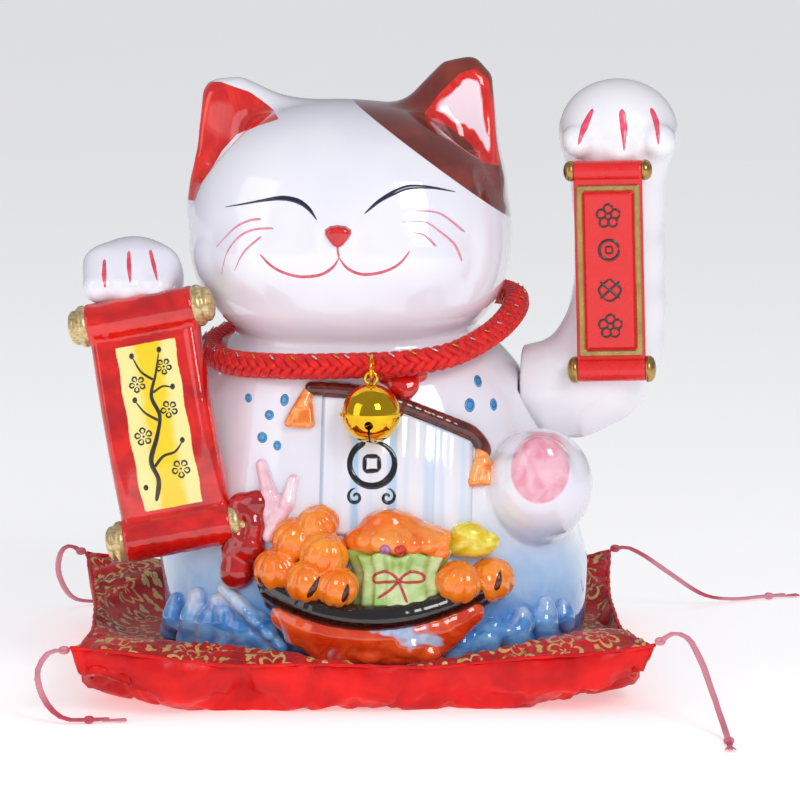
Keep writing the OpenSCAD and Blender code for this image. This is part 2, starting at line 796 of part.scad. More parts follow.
module arm_hub() {
    color("ivory") difference() {
        union() {
            along_x([shaft_y, axis_z], 8.8, 67, 69);
            along_x([shaft_y, axis_z], 5, 67, 84);
            along_x([shaft_y, axis_z], 14, 70, 72);
        }
        along_x([shaft_y, axis_z], shaft_d / 2, 60, 90);
    }
}

module swing_shaft() {
    color("silver") along_x([shaft_y, axis_z], shaft_d / 2, 12, 80);
}

module shaft_clips() {
    color("dimgray") for (x = [12.8, 51.2]) difference() {
        along_x([shaft_y, axis_z], shaft_d / 2 + 1.8, x, x + 1);
        along_x([shaft_y, axis_z], shaft_d / 2, x - 1, x + 2);
    }
}

module pendulum_lever() {
    color("ivory") difference() {
        union() {
            along_x([shaft_y, axis_z], 6, 28, 36);
            translate([32, shaft_y, weight_z + weight_h]) linear_extrude(axis_z - weight_z - weight_h - 4)
                square([4, 9], center = true);
            translate([32, shaft_y + 1, weight_z + weight_h]) linear_extrude(2) square([16, 14], center = true);
        }
        along_x([shaft_y, axis_z], shaft_d / 2, 20, 40);
    }
}

// Steel block that balances the arm's weight across the shaft
module pendulum_weight() {
    color("silver") translate([32, shaft_y + weight_off, weight_z]) linear_extrude(weight_h)
        square([24, 22], center = true);
}

module pendulum_magnet() {
    color("gray") translate([32, shaft_y, weight_z - 2.2]) cylinder(r = 6, h = 2.2);
}

// ---------- cushion ----------
function sides_in(v) = 1 - 0.055 * (1 - pow(v, 2));
// Plan position of a panel point, u and v from -1 to 1
function plan(u, v) = let (x = half_w * u * sides_in(v), y = half_w * v * sides_in(u))
    [x * cos(cushion_turn) - y * sin(cushion_turn), x * sin(cushion_turn) + y * cos(cushion_turn)];
function seam(u, v) = mix(seam_z, corner_z, pow(abs(u * v), 2.2));
// How far a point lies outside the cat's footprint: 0 on it, 1 well clear of it
function clear_of_cat(q) = let (r = norm([(q[0] - 8) / 101, (q[1] - 2) / 92])) min(1, max(0, (r - 1) / 0.14));
function dome(u, v, e) = pow(max(0, (1 - pow(abs(u), 5)) * (1 - pow(abs(v), 5))), e);
function top_z(u, v) = mix(seat_z, seam(u, v) + 6 * dome(u, v, 0.5), pow(clear_of_cat(plan(u, v)), 1.4));
function low_z(u, v) = seam(u, v) * max(0, 1 - 1.12 * dome(u, v, 0.28));
// Grid lines gather towards the seams, where the pad curves most
function spread(t) = t * (1.5 - 0.5 * t * t);

// Closed solid between two height functions over the cushion's plan; cut grid lines are left off each side
module pad_solid(upper, lower, cut = 0) {
    n = grid_n - 2 * cut;
    w = n + 1;
    uv = [for (j = [0:n], i = [0:n]) [spread(2 * (i + cut) / grid_n - 1), spread(2 * (j + cut) / grid_n - 1)]];
    pts = concat([for (q = uv) let (p = plan(q[0], q[1])) [p[0], p[1], upper(q[0], q[1])]],
        [for (q = uv) let (p = plan(q[0], q[1])) [p[0], p[1], lower(q[0], q[1])]]);
    f = w * w;
    tops = [for (j = [0:n - 1], i = [0:n - 1]) let (a = j * w + i)
        each [[a, a + w, a + w + 1], [a, a + w + 1, a + 1]]];
    bottoms = [for (j = [0:n - 1], i = [0:n - 1]) let (a = f + j * w + i)
        each [[a, a + w + 1, a + w], [a, a + 1, a + w + 1]]];
    rim = concat([for (i = [0:n - 1]) i], [for (j = [0:n - 1]) j * w + n],
        [for (i = [n:-1:1]) n * w + i], [for (j = [n:-1:1]) j * w]);
    edge = [for (i = [0:len(rim) - 1]) let (a = rim[i], b = rim[(i + 1) % len(rim)])
        each [[a, b, b + f], [a, b + f, a + f]]];
    polyhedron(pts, concat(tops, bottoms, edge));
}

module cushion_filling() {
    color("whitesmoke") pad_solid(function(u, v) top_z(u, v) - fabric_t - gap,
        function(u, v) low_z(u, v) + fabric_t + gap, 1);
}

module cushion_top_panel() {
    color("firebrick") pad_solid(function(u, v) top_z(u, v), function(u, v) top_z(u, v) - fabric_t);
}

module cushion_bottom_panel() {
    color("red") pad_solid(function(u, v) min(low_z(u, v) + fabric_t, top_z(u, v) - fabric_t - gap),
        function(u, v) min(low_z(u, v), top_z(u, v) - 2 * fabric_t));
}

// Corner tassels: routes from the corner seam down to the surface that the cushion stands on
tassel_routes = [
    [[-100, -119, 26], [-105, -123, 26], [-109, -126, 20], [-108, -128, 13], [-104, -130, 6], [-98, -131, 2],
        [-90, -130, 1.6], [-82, -128, 1.6]],
    [[126, -97, 29], [131, -101, 33], [137, -106, 32], [142, -114, 25], [147, -124, 14], [151, -135, 5],
        [153, -144, 1.8], [154, -156, 1.6]],
    [[-126, 96, 29], [-131, 99, 31], [-136, 104, 27], [-138, 112, 16], [-134, 122, 5], [-126, 130, 1.8],
        [-114, 135, 1.6], [-100, 137, 1.6]],
    [[99, 123, 29], [104, 127, 29], [112, 133, 24], [124, 142, 14], [136, 151, 5], [148, 160, 1.8],
        [160, 168, 1.6], [170, 174, 1.6]]];

module tassel(route) {
    color("crimson") rod(open_curve(route, 3), tassel_r, 8, [0.2, 0.1, 1]);
}

module tassel_front_left() {
    tassel(tassel_routes[0]);
}

module tassel_front_right() {
    tassel(tassel_routes[1]);
}

module tassel_back_left() {
    tassel(tassel_routes[2]);
}

module tassel_back_right() {
    tassel(tassel_routes[3]);
}

cushion_filling();
cushion_top_panel();
cushion_bottom_panel();
tassel_front_left();
tassel_front_right();
tassel_back_left();
tassel_back_right();
ceramic_body();
big_scroll();
big_scroll_knobs();
ship_hull();
ship_rail();
oranges();
pouch();
pouch_filling();
gold_ingot();
red_coral();
pink_coral();
sail();
spar();
sail_tassels();
pennant();
waves();
collar_rope();
collar_clasp();
jump_ring();
bell_upper();
bell_lower();
bell_pellet();
base_plate();
base_seal();
base_screws();
felt_pads();
battery_box();
battery_contacts();
battery_cells();
battery_door();
switch_body();
switch_slider();
movement_frame();
bearing_bushes();
coil_bobbin();
coil_winding();
coil_core();
circuit_board();
leads();
arm_front_shell();
arm_back_shell();
arm_scroll();
arm_scroll_frame();
arm_scroll_knobs();
arm_hub();
swing_shaft();
shaft_clips();
pendulum_lever();
pendulum_weight();
pendulum_magnet();
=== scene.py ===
"""Looks of the ceramic lucky-cat figurine: glaze, paint, braid, satin cushion and light.

Shapes are worked out in millimetres in the part's own frame, and turned into metres when a mesh is made.
"""
import json
import math

import bpy
import numpy as np
import openvdb
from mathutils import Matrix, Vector
from mathutils.bvhtree import BVHTree


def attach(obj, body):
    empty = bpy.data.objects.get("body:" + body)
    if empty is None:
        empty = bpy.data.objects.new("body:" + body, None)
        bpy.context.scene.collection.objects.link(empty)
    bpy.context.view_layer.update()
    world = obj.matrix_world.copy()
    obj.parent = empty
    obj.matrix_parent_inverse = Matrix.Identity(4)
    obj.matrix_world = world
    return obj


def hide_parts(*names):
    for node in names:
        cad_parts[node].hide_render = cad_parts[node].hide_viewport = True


MM = 0.001
FAR = 999.0
UP = np.array([0.0, 0.0, 1.0])

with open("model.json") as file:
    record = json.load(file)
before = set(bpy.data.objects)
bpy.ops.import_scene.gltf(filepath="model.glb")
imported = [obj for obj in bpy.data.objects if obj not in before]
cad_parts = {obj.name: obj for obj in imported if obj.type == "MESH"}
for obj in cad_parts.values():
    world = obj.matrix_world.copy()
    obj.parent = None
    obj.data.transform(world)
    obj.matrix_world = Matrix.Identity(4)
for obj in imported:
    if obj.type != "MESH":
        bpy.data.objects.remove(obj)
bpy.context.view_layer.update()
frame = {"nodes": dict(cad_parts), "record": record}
nodes = frame["nodes"]


# ---------- camera ----------
VIEW_CENTRE = (18, 0, 108)
VIEW_TURN = 5.0        # degrees to the cat's left of straight ahead
VIEW_RISE = 7.5        # degrees above the horizon
VIEW_DISTANCE = 2000
LENS = 225


def add_camera():
    turn, rise = math.radians(VIEW_TURN), math.radians(VIEW_RISE)
    back = Vector((math.sin(turn) * math.cos(rise), -math.cos(turn) * math.cos(rise), math.sin(rise)))
    camera = bpy.data.objects.new("camera", bpy.data.cameras.new("camera"))
    bpy.context.scene.collection.objects.link(camera)
    camera.data.lens = LENS
    camera.data.clip_end = 20
    camera.location = (Vector(VIEW_CENTRE) + back * VIEW_DISTANCE) * MM
    camera.rotation_euler = (-back).to_track_quat("-Z", "Y").to_euler()
    bpy.context.scene.camera = camera


# ---------- materials ----------
def rgb(code):
    """Linear colour from an sRGB hex code."""
    parts = [int(code[i:i + 2], 16) / 255 for i in (0, 2, 4)]
    return tuple(c / 12.92 if c <= 0.04045 else ((c + 0.055) / 1.055) ** 2.4 for c in parts) + (1.0,)


class Look:
    """One node material under construction. Colours are hex codes or sockets, lengths are millimetres."""

    def __init__(self, name, **shader_values):
        self.material = bpy.data.materials.new(name)
        self.material.use_nodes = True
        self.tree = self.material.node_tree
        self.shader = self.tree.nodes["Principled BSDF"]
        for key, value in shader_values.items():
            self.shader.inputs[key.replace("_", " ")].default_value = value
        place = self.tree.nodes.new("ShaderNodeTexCoord")
        scale = self.tree.nodes.new("ShaderNodeVectorMath")
        scale.operation = "SCALE"
        scale.inputs["Scale"].default_value = 1 / MM
        self.tree.links.new(place.outputs["Object"], scale.inputs[0])
        self.place = scale.outputs[0]

    def set(self, socket, value):
        if isinstance(value, bpy.types.NodeSocket):
            self.tree.links.new(value, socket)
        elif isinstance(value, str):
            socket.default_value = rgb(value)
        else:
            socket.default_value = value

    def noise(self, size, detail=2.0, rough=0.5, warp=0.0, stretch=(1, 1, 1)):
        """Soft noise whose lumps are about size across."""
        node = self.tree.nodes.new("ShaderNodeTexNoise")
        node.inputs["Scale"].default_value = 1 / size
        node.inputs["Detail"].default_value = detail
        node.inputs["Roughness"].default_value = rough
        node.inputs["Distortion"].default_value = warp
        self.tree.links.new(self.stretched(stretch), node.inputs["Vector"])
        return node.outputs["Fac"]

    def cells(self, size, stretch=(1, 1, 1), feature="F1", output="Distance"):
        node = self.tree.nodes.new("ShaderNodeTexVoronoi")
        node.feature = feature
        node.inputs["Scale"].default_value = 1 / size
        self.tree.links.new(self.stretched(stretch), node.inputs["Vector"])
        return node.outputs[output]

    def stretched(self, stretch):
        if tuple(stretch) == (1, 1, 1):
            return self.place
        node = self.tree.nodes.new("ShaderNodeVectorMath")
        node.operation = "MULTIPLY"
        node.inputs[1].default_value = stretch
        self.tree.links.new(self.place, node.inputs[0])
        return node.outputs[0]

    def wave(self, size, direction="X", warp=0.0):
        node = self.tree.nodes.new("ShaderNodeTexWave")
        node.bands_direction = direction
        node.inputs["Scale"].default_value = 0.314 / size
        node.inputs["Distortion"].default_value = warp
        self.tree.links.new(self.place, node.inputs["Vector"])
        return node.outputs["Fac"]

    def axis(self, letter):
        node = self.tree.nodes.new("ShaderNodeSeparateXYZ")
        self.tree.links.new(self.place, node.inputs[0])
        return node.outputs[letter]

    def stored(self, name):
        """A number painted on the mesh's points."""
        node = self.tree.nodes.new("ShaderNodeAttribute")
        node.attribute_name = name
        return node.outputs["Fac"]

    def math(self, kind, a, b=0.0, clamp=False):
        node = self.tree.nodes.new("ShaderNodeMath")
        node.operation = kind
        node.use_clamp = clamp
        self.set(node.inputs[0], a)
        self.set(node.inputs[1], b)
        return node.outputs[0]

    def wavered(self, value, noise, amount):
        """A value with a share of a noise added, so that a border drawn by it wavers."""
        return self.math("ADD", value, self.math("MULTIPLY", noise, amount))

    def step(self, value, low, high, to_low=0.0, to_high=1.0):
        """Smooth step of a value from to_low at low to to_high at high."""
        node = self.tree.nodes.new("ShaderNodeMapRange")
        node.interpolation_type = "SMOOTHSTEP"
        self.set(node.inputs["Value"], value)
        for key, number in (("From Min", low), ("From Max", high), ("To Min", to_low), ("To Max", to_high)):
            node.inputs[key].default_value = number
        return node.outputs["Result"]

    def mix(self, factor, a, b):
        node = self.tree.nodes.new("ShaderNodeMix")
        node.data_type = "RGBA"
        self.set(node.inputs["Factor"], factor)
        self.set(node.inputs[6], a)
        self.set(node.inputs[7], b)
        return node.outputs[2]

    def bump(self, height, depth):
        """Surface relief, depth millimetres between 0 and 1 of height. Calls add up."""
        node = self.tree.nodes.new("ShaderNodeBump")
        node.inputs["Distance"].default_value = depth * MM
        self.set(node.inputs["Height"], height)
        before = self.shader.inputs["Normal"].links
        if before:
            self.tree.links.new(before[0].from_socket, node.inputs["Normal"])
        self.tree.links.new(node.outputs[0], self.shader.inputs["Normal"])

    def colour(self, value):
        self.set(self.shader.inputs["Base Color"], value)

    def roughness(self, value):
        self.set(self.shader.inputs["Roughness"], value)


def glaze(name, deep, pale, patch=9.0, flow=0.05, roughness=0.1):
    """Brushed underglaze colour, thin in places, beneath a clear glossy glaze."""
    look = Look(name, Coat_Weight=1.0, Coat_Roughness=0.025, Coat_IOR=1.5)
    brush = look.noise(patch, 3, 0.55, 0.6, (1, 1, 1.6))
    look.colour(look.mix(look.step(brush, 0.36, 0.68), deep, pale))
    look.roughness(look.step(look.noise(14, 2), 0.3, 0.7, roughness, roughness + 0.1))
    look.bump(look.noise(16, 1), flow * 4)
    look.bump(look.noise(1.1, 1), 0.006)
    return look


def porcelain(name):
    """Milky white glaze with the faintest pooling and pin marks."""
    look = Look(name, Coat_Weight=1.0, Coat_Roughness=0.02, Coat_IOR=1.52)
    look.shader.inputs["Subsurface Weight"].default_value = 0.06
    look.shader.inputs["Subsurface Radius"].default_value = (0.004, 0.0035, 0.003)
    look.tone = look.mix(look.step(look.noise(46, 2), 0.35, 0.65), "efeef6", "e8e7f2")
    look.colour(look.tone)
    look.roughness(look.step(look.noise(20, 2), 0.3, 0.7, 0.09, 0.18))
    look.bump(look.noise(38, 1), 0.25)
    look.bump(look.noise(0.9, 1), 0.004)
    return look


def moulded(name, code, roughness=0.4, shade=0.86):
    """Injection-moulded plastic with a fine spark-eroded skin."""
    look = Look(name)
    base = rgb(code)
    darker = tuple(c * shade for c in base[:3]) + (1.0,)
    look.colour(look.mix(look.noise(7, 3), darker, base))
    look.roughness(look.step(look.noise(3, 3), 0.3, 0.7, roughness - 0.06, roughness + 0.1))
    look.bump(look.noise(0.35, 2), 0.02)
    return look


def metal(name, code, roughness=0.25, brushed=False, tarnish=0.75):
    look = Look(name, Metallic=1.0)
    base = rgb(code)
    darker = tuple(c * tarnish for c in base[:3]) + (1.0,)
    look.colour(look.mix(look.step(look.noise(5, 4), 0.35, 0.7), base, darker))
    look.roughness(look.step(look.noise(2.2, 3), 0.3, 0.7, roughness * 0.7, roughness * 1.4))
    grain = look.noise(0.5, 2, 0.6, 0, (1, 1, 12)) if brushed else look.noise(0.6, 2)
    look.bump(grain, 0.012)
    return look


def gold_paint(name):
    """Brushed-on gold lustre over glaze, worn to brown at the edges of the strokes."""
    look = Look(name, Metallic=0.72, Coat_Weight=0.35, Coat_Roughness=0.15)
    strokes = look.noise(3.2, 4, 0.6, 0.8, (1, 1, 2.5))
    look.colour(look.mix(look.step(strokes, 0.3, 0.7), "bd9a5e", "ecd9a6"))
    look.roughness(look.step(strokes, 0.3, 0.7, 0.42, 0.27))
    look.bump(strokes, 0.05)
    return look


# ---------- meshes ----------
def new_piece(name, points, faces, body, look, slot=None, smooth=True):
    """A mesh piece from points in millimetres, riding on a body."""
    mesh = bpy.data.meshes.new(name)
    mesh.from_pydata((np.asarray(points, float) * MM).tolist(), [], [list(map(int, f)) for f in faces])
    mesh.update()
    if smooth:
        mesh.shade_smooth()
    piece = bpy.data.objects.new(name, mesh)
    bpy.context.scene.collection.objects.link(piece)
    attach(piece, body)
    mesh.materials.append(look.material)
    return piece


def paint_number(piece, name, values):
    """Stores one number for each point, such as a distance to the edge of a painted patch."""
    attribute = piece.data.attributes.new(name, "FLOAT", "POINT")
    attribute.data.foreach_set("value", np.asarray(values, np.float32))


def points_of(piece):
    found = np.zeros(len(piece.data.vertices) * 3)
    piece.data.vertices.foreach_get("co", found)
    return found.reshape(-1, 3) / MM


def joined(parts):
    """Several (points, faces) as one."""
    points, faces, count = [], [], 0
    for p, f in parts:
        points.append(np.asarray(p, float))
        faces += [[i + count for i in face] for face in f]
        count += len(p)
    return np.concatenate(points), faces


def tube(path, radii, sides=10, closed=False, section=None, start=(0.2, 0.1, 1.0)):
    """(points, faces) of a tube along a path; section gives (across, up) pairs in place of a circle."""
    path = np.asarray(path, float)
    count = len(path)
    radii = np.broadcast_to(radii, count)
    if section is None:
        angles = 2 * math.pi * np.arange(sides) / sides
        section = np.stack([np.cos(angles), np.sin(angles)], 1)
    sides = len(section)
    if closed:
        ahead = np.roll(path, -1, 0) - np.roll(path, 1, 0)
    else:
        ahead = np.gradient(path, axis=0)
    ahead /= np.linalg.norm(ahead, axis=1)[:, None]
    across = np.cross(ahead, np.asarray(start, float))
    across /= np.linalg.norm(across, axis=1)[:, None]
    lift = np.cross(across, ahead)
    points = (path[:, None] + radii[:, None, None]
              * (section[None, :, 0, None] * across[:, None] + section[None, :, 1, None] * lift[:, None]))
    rows = count if closed else count - 1
    faces = []
    for i in range(rows):
        a, b = i * sides, (i + 1) % count * sides
        for k in range(sides):
            n = (k + 1) % sides
            faces.append((a + k, a + n, b + n, b + k))
    if not closed:
        faces.append(tuple(range(sides - 1, -1, -1)))
        faces.append(tuple((count - 1) * sides + k for k in range(sides)))
    return points.reshape(-1, 3), faces


def curve_through(points, steps, closed=False):
    """Smooth line through points, the same curve as the part's own."""
    p = np.asarray(points, float)
    count = len(p)
    line = []
    for i in range(count if closed else count - 1):
        if closed:
            a, b, c, d = p[i - 1], p[i], p[(i + 1) % count], p[(i + 2) % count]
        else:
            a, b, c, d = p[max(i - 1, 0)], p[i], p[i + 1], p[min(i + 2, count - 1)]
        for k in np.arange(steps) / steps:
            line.append(0.5 * (2 * b + (c - a) * k + (2 * a - 5 * b + 4 * c - d) * k * k
                               + (3 * b - a - 3 * c + d) * k ** 3))
    if not closed:
        line.append(p[-1])
    return np.array(line)


def resampled(line, spacing, closed=False):
    """The same line with points at even spacing."""
    line = np.asarray(line, float)
    if closed:
        line = np.vstack([line, line[:1]])
    lengths = np.concatenate([[0], np.cumsum(np.linalg.norm(np.diff(line, axis=0), axis=1))])
    count = max(3, int(round(lengths[-1] / spacing)))
    at = np.linspace(0, lengths[-1], count + 1)[:count if closed else count + 1]
    return np.stack([np.interp(at, lengths, line[:, k]) for k in range(3)], 1)


def lathe(profile, centre, direction, sides=40):
    """(points, faces) of a turned solid; profile is (radius, height) from the bottom pole to the top pole."""
    direction = np.asarray(direction, float) / np.linalg.norm(direction)
    side = np.cross(direction, (0.31, 0.87, 0.11))
    side /= np.linalg.norm(side)
    other = np.cross(direction, side)
    angles = 2 * math.pi * np.arange(sides) / sides
    ring = np.cos(angles)[:, None] * side + np.sin(angles)[:, None] * other
    points = [centre + r * ring + h * direction for r, h in profile]
    faces = []
    for i in range(len(profile) - 1):
        for k in range(sides):
            n = (k + 1) % sides
            faces.append((i * sides + k, i * sides + n, (i + 1) * sides + n, (i + 1) * sides + k))
    faces.append(tuple(range(sides - 1, -1, -1)))
    faces.append(tuple((len(profile) - 1) * sides + k for k in range(sides)))
    return np.concatenate(points), faces


# ---------- clay: smooth solids built up on a grid of distances ----------
def smooth_min(a, b, blend):
    if blend <= 0:
        return np.minimum(a, b)
    h = np.clip(0.5 + 0.5 * (b - a) / blend, 0, 1)
    return b + (a - b) * h - blend * h * (1 - h)


def smooth_max(a, b, blend):
    return -smooth_min(-a, -b, blend)


def ball(centre, radius, squash=(1, 1, 1)):
    """A ball or egg: its distance function and its box."""
    c = np.asarray(centre, np.float32)
    r = np.asarray(squash, np.float32) * radius

    def distance(x, y, z):
        u, v, w = (x - c[0]) / r[0], (y - c[1]) / r[1], (z - c[2]) / r[2]
        inner = np.sqrt(u * u + v * v + w * w) + 1e-6
        slope = np.sqrt((u / r[0]) ** 2 + (v / r[1]) ** 2 + (w / r[2]) ** 2) + 1e-6
        return inner * (inner - 1) / slope

    return distance, c - r, c + r


def rod(a, b, ra, rb=None):
    """A rounded rod from a to b."""
    a, b = np.asarray(a, np.float32), np.asarray(b, np.float32)
    rb = ra if rb is None else rb
    d = b - a
    long = float(d @ d) + 1e-6

    def distance(x, y, z):
        x, y, z = x - a[0], y - a[1], z - a[2]
        t = np.clip((x * d[0] + y * d[1] + z * d[2]) / long, 0, 1)
        return np.sqrt((x - t * d[0]) ** 2 + (y - t * d[1]) ** 2 + (z - t * d[2]) ** 2) - (ra + (rb - ra) * t)

    r = max(ra, rb)
    return distance, np.minimum(a, b) - r, np.maximum(a, b) + r


def flat_side(x, z, corners):
    """Distance in the XZ plane to a closed outline, negative inside."""
    corners = np.asarray(corners, np.float32)
    best, inside = np.float32(1e9), np.float32(1)
    for i in range(len(corners)):
        ax, az = corners[i]
        bx, bz = corners[i - 1]
        ex, ez = bx - ax, bz - az
        wx, wz = x - ax, z - az
        t = np.clip((wx * ex + wz * ez) / (ex * ex + ez * ez), 0, 1)
        best = np.minimum(best, (wx - ex * t) ** 2 + (wz - ez * t) ** 2)
        above, below, turn = z >= az, z < bz, ex * wz > ez * wx
        inside = inside * np.where((above & below & turn) | (~above & ~below & ~turn), -1, 1)
    return inside * np.sqrt(best)


class Clay:
    """A solid as signed distances on a regular grid."""

    def __init__(self, low, high, step):
        self.low = np.asarray(low, np.float32)
        self.step = step
        size = np.ceil((np.asarray(high) - self.low) / step).astype(int) + 1
        self.field = np.full(size, FAR, np.float32)

    def window(self, low, high, margin):
        a = np.clip(np.floor((np.asarray(low) - margin - self.low) / self.step).astype(int), 0, None)
        b = np.ceil((np.asarray(high) + margin - self.low) / self.step).astype(int) + 1
        b = np.minimum(b, self.field.shape)
        axes = [self.low[k] + self.step * np.arange(a[k], b[k], dtype=np.float32) for k in range(3)]
        return tuple(slice(i, j) for i, j in zip(a, b)), np.meshgrid(*axes, indexing="ij", sparse=True)

    def add(self, solid, blend=0.0):
        where, place = self.window(solid[1], solid[2], 4 + blend)
        self.field[where] = smooth_min(self.field[where], solid[0](*place), blend)

    def cut(self, solid, blend=0.0):
        where, place = self.window(solid[1], solid[2], 4 + blend)
        self.field[where] = smooth_max(self.field[where], -solid[0](*place), blend)

    def shape(self, change):
        """Replaces the whole field by change(field, x, y, z)."""
        _, place = self.window(self.low, self.low + self.step * np.array(self.field.shape), 0)
        self.field = change(self.field, *place).astype(np.float32)

    def at(self, points):
        """Distances at points, read between the grid's own."""
        place = (np.asarray(points) - self.low) / self.step
        size = np.array(self.field.shape) - 2
        base = np.clip(np.floor(place).astype(int), 0, size)
        part = np.clip(place - base, 0, 1)
        total = 0
        for corner in range(8):
            offset = np.array([corner & 1, corner >> 1 & 1, corner >> 2 & 1])
            weight = np.prod(np.where(offset, part, 1 - part), axis=1)
            i = base + offset
            total = total + weight * self.field[i[:, 0], i[:, 1], i[:, 2]]
        return total

    def mesh(self, rounds=2):
        """(points, faces) of the solid's skin, relaxed a little and drawn back to the true surface."""
        band = 3 * self.step
        grid = openvdb.FloatGrid(background=band)
        grid.copyFromArray(np.clip(self.field, -band, band))
        points, faces = grid.convertToQuads(isovalue=0)
        points, faces = points.astype(float), faces.astype(int)
        pairs = np.concatenate([faces[:, [0, 1]], faces[:, [1, 2]], faces[:, [2, 3]], faces[:, [3, 0]]])
        near = np.bincount(pairs.ravel(), minlength=len(points))[:, None]
        points = points * self.step + self.low
        for _ in range(rounds):
            total = np.zeros_like(points)
            for k in range(3):
                total[:, k] = (np.bincount(pairs[:, 0], points[pairs[:, 1], k], len(points))
                               + np.bincount(pairs[:, 1], points[pairs[:, 0], k], len(points)))
            points += 0.6 * (total / near - points)
            points -= self.slope(points) * self.at(points)[:, None] * 0.9
        a, b, c = (points[faces[:, k]] for k in (0, 1, 2))
        outward = np.einsum("ij,ij->i", np.cross(b - a, c - b), self.slope(a)).sum()
        return points, faces if outward > 0 else faces[:, ::-1]

    def slope(self, points):
        e = self.step * 0.5
        g = np.stack([self.at(points + e * axis) - self.at(points - e * axis) for axis in np.eye(3)], 1)
        return g / (np.linalg.norm(g, axis=1)[:, None] + 1e-6)


def fired(name, clay, body, look, slot, *cad_nodes, rounds=2):
    """A clay solid as a piece that stands for CAD nodes."""
    points, faces = clay.mesh(rounds)
    piece = new_piece(name, points, faces, body, look, slot)
    if cad_nodes:
        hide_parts(*cad_nodes)
    return piece


# ---------- cords: the cushion's corner tassels ----------
TASSEL_R = 1.4
TASSELS = {
    "front_left": [(-100, -119, 26), (-105, -123, 26), (-109, -126, 20), (-108, -128, 13), (-104, -130, 6),
                   (-98, -131, 2), (-90, -130, 1.6), (-82, -128, 1.6)],
    "front_right": [(126, -97, 29), (131, -101, 33), (137, -106, 32), (142, -114, 25), (147, -124, 14),
                    (151, -135, 5), (153, -144, 1.8), (154, -156, 1.6)],
    "back_left": [(-126, 96, 29), (-131, 99, 31), (-136, 104, 27), (-138, 112, 16), (-134, 122, 5),
                  (-126, 130, 1.8), (-114, 135, 1.6), (-100, 137, 1.6)],
    "back_right": [(99, 123, 29), (104, 127, 29), (112, 133, 24), (124, 142, 14), (136, 151, 5),
                   (148, 160, 1.8), (160, 168, 1.6), (170, 174, 1.6)],
}


def thread_look():
    look = Look("tassel_thread", Sheen_Weight=0.5, Sheen_Roughness=0.35)
    strand = look.noise(0.5, 2, 0.6, 0, (1, 1, 0.2))
    faded = look.noise(30, 1)
    fresh = look.mix(strand, "a8243c", "d2566a")
    look.colour(look.mix(look.step(faded, 0.4, 0.62), fresh, "d98a9a"))
    look.roughness(look.step(strand, 0.3, 0.7, 0.4, 0.62))
    look.bump(strand, 0.2)
    return look


def add_tassels():
    """Each tassel is a cord of loosely laid threads with a knot at the seam and a frayed end."""
    look = thread_look()
    for corner, route in TASSELS.items():
        line = resampled(curve_through(route, 8), 3.6)
        threads = []
        for k in range(5):
            turn = 2 * math.pi * (k / 5 + 0.05 * np.arange(len(line)))
            side = np.stack([np.cos(turn), np.sin(turn), np.zeros(len(line))], 1)
            threads.append(tube(line + side * (TASSEL_R - 0.72) * (0.93 + 0.1 * math.sin(9 * k)), 0.68, 6))
        points, faces = joined(threads)
        points[:, 2] = np.maximum(points[:, 2], 0.15)
        cord = new_piece("tassel_cord_" + corner, points, faces, "cushion", look, "tassel_thread")
        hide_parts("tassel_" + corner)
        knot = []
        for place, size in ((line[0] + (0, 0, 0.2), 2.3), (line[-3], 2.1)):
            spin = np.linspace(0, 2 * math.pi, 15)[:-1]
            for tilt in (0.5, -0.7):
                across = np.sin(spin)
                ring = np.stack([np.cos(spin), across * math.cos(tilt), across * math.sin(tilt)], 1)
                knot.append(tube(place + ring * size * 0.62, 0.85, 6, closed=True))
        end, along = line[-1], (line[-1] - line[-2]) / np.linalg.norm(line[-1] - line[-2])
        for k in range(7):
            spread = (k - 3) * 0.32
            side = np.array([-along[1], along[0], 0])
            tips = [end + along * t * 7 + side * spread * (0.6 + t * 1.4) for t in (-0.3, 0.2, 0.6, 1.0)]
            path = np.array(tips)
            path[:, 2] = np.maximum(0.4, path[:, 2] - 0.6 + 0.3 * (k % 2))
            knot.append(tube(curve_through(path, 3), 0.3, 5))
        points, faces = joined(knot)
        points[:, 2] = np.maximum(points[:, 2], 0.1)
        ends = new_piece("tassel_knots_" + corner, points, faces, "cushion", look, "tassel_thread")


# ---------- ceramic cat ----------
BASE_Z = 14
CAT_STEP = 1.35        # grid spacing of the cat's clay
BODY_Y = 4
ROUNDNESS = 2.3        # exponent of the body's outline
BODY = np.array([  # height, centre x, half width, half depth
    [14, 8, 83, 67], [20, 8, 84.5, 69.5], [45, 8, 85, 71], [70, 6, 80, 68], [95, 5, 73, 62],
    [112, 4, 67.5, 57],
    [122, 3, 62, 54], [131, 2, 55, 48], [141, 1, 44, 38], [150, 1, 32, 28]], float)
HEAD_C = (-1.0, -6.0, 177.5)
HEAD_R = (64.0, 52.0, 51.0)
HEAD_ROLL = 3.0
SHOULDER_X, SHAFT_Y, AXIS_Z = 66, 4, 112.5
PAW_C = (-85.5, -24, 158)
FOOT_C = (76.5, -42, 81)
LEFT_EAR = [(-57, 188), (-53.5, 229.5), (-46.5, 230.2), (-18, 217)]
RIGHT_EAR = [(18, 216), (38.5, 238), (45.5, 239.5), (48.5, 236), (52, 198)]


def eased(column):
    """A column of the body's stations as a smooth function of height."""
    fine = np.arange(0, 170, 0.5)
    values = np.interp(fine, BODY[:, 0], BODY[:, column])
    window = np.hanning(33)
    values = np.convolve(np.pad(values, 16, "edge"), window / window.sum(), "valid")
    return lambda z: np.interp(z, fine, values)


body_cx, body_rx, body_ry = eased(1), eased(2), eased(3)


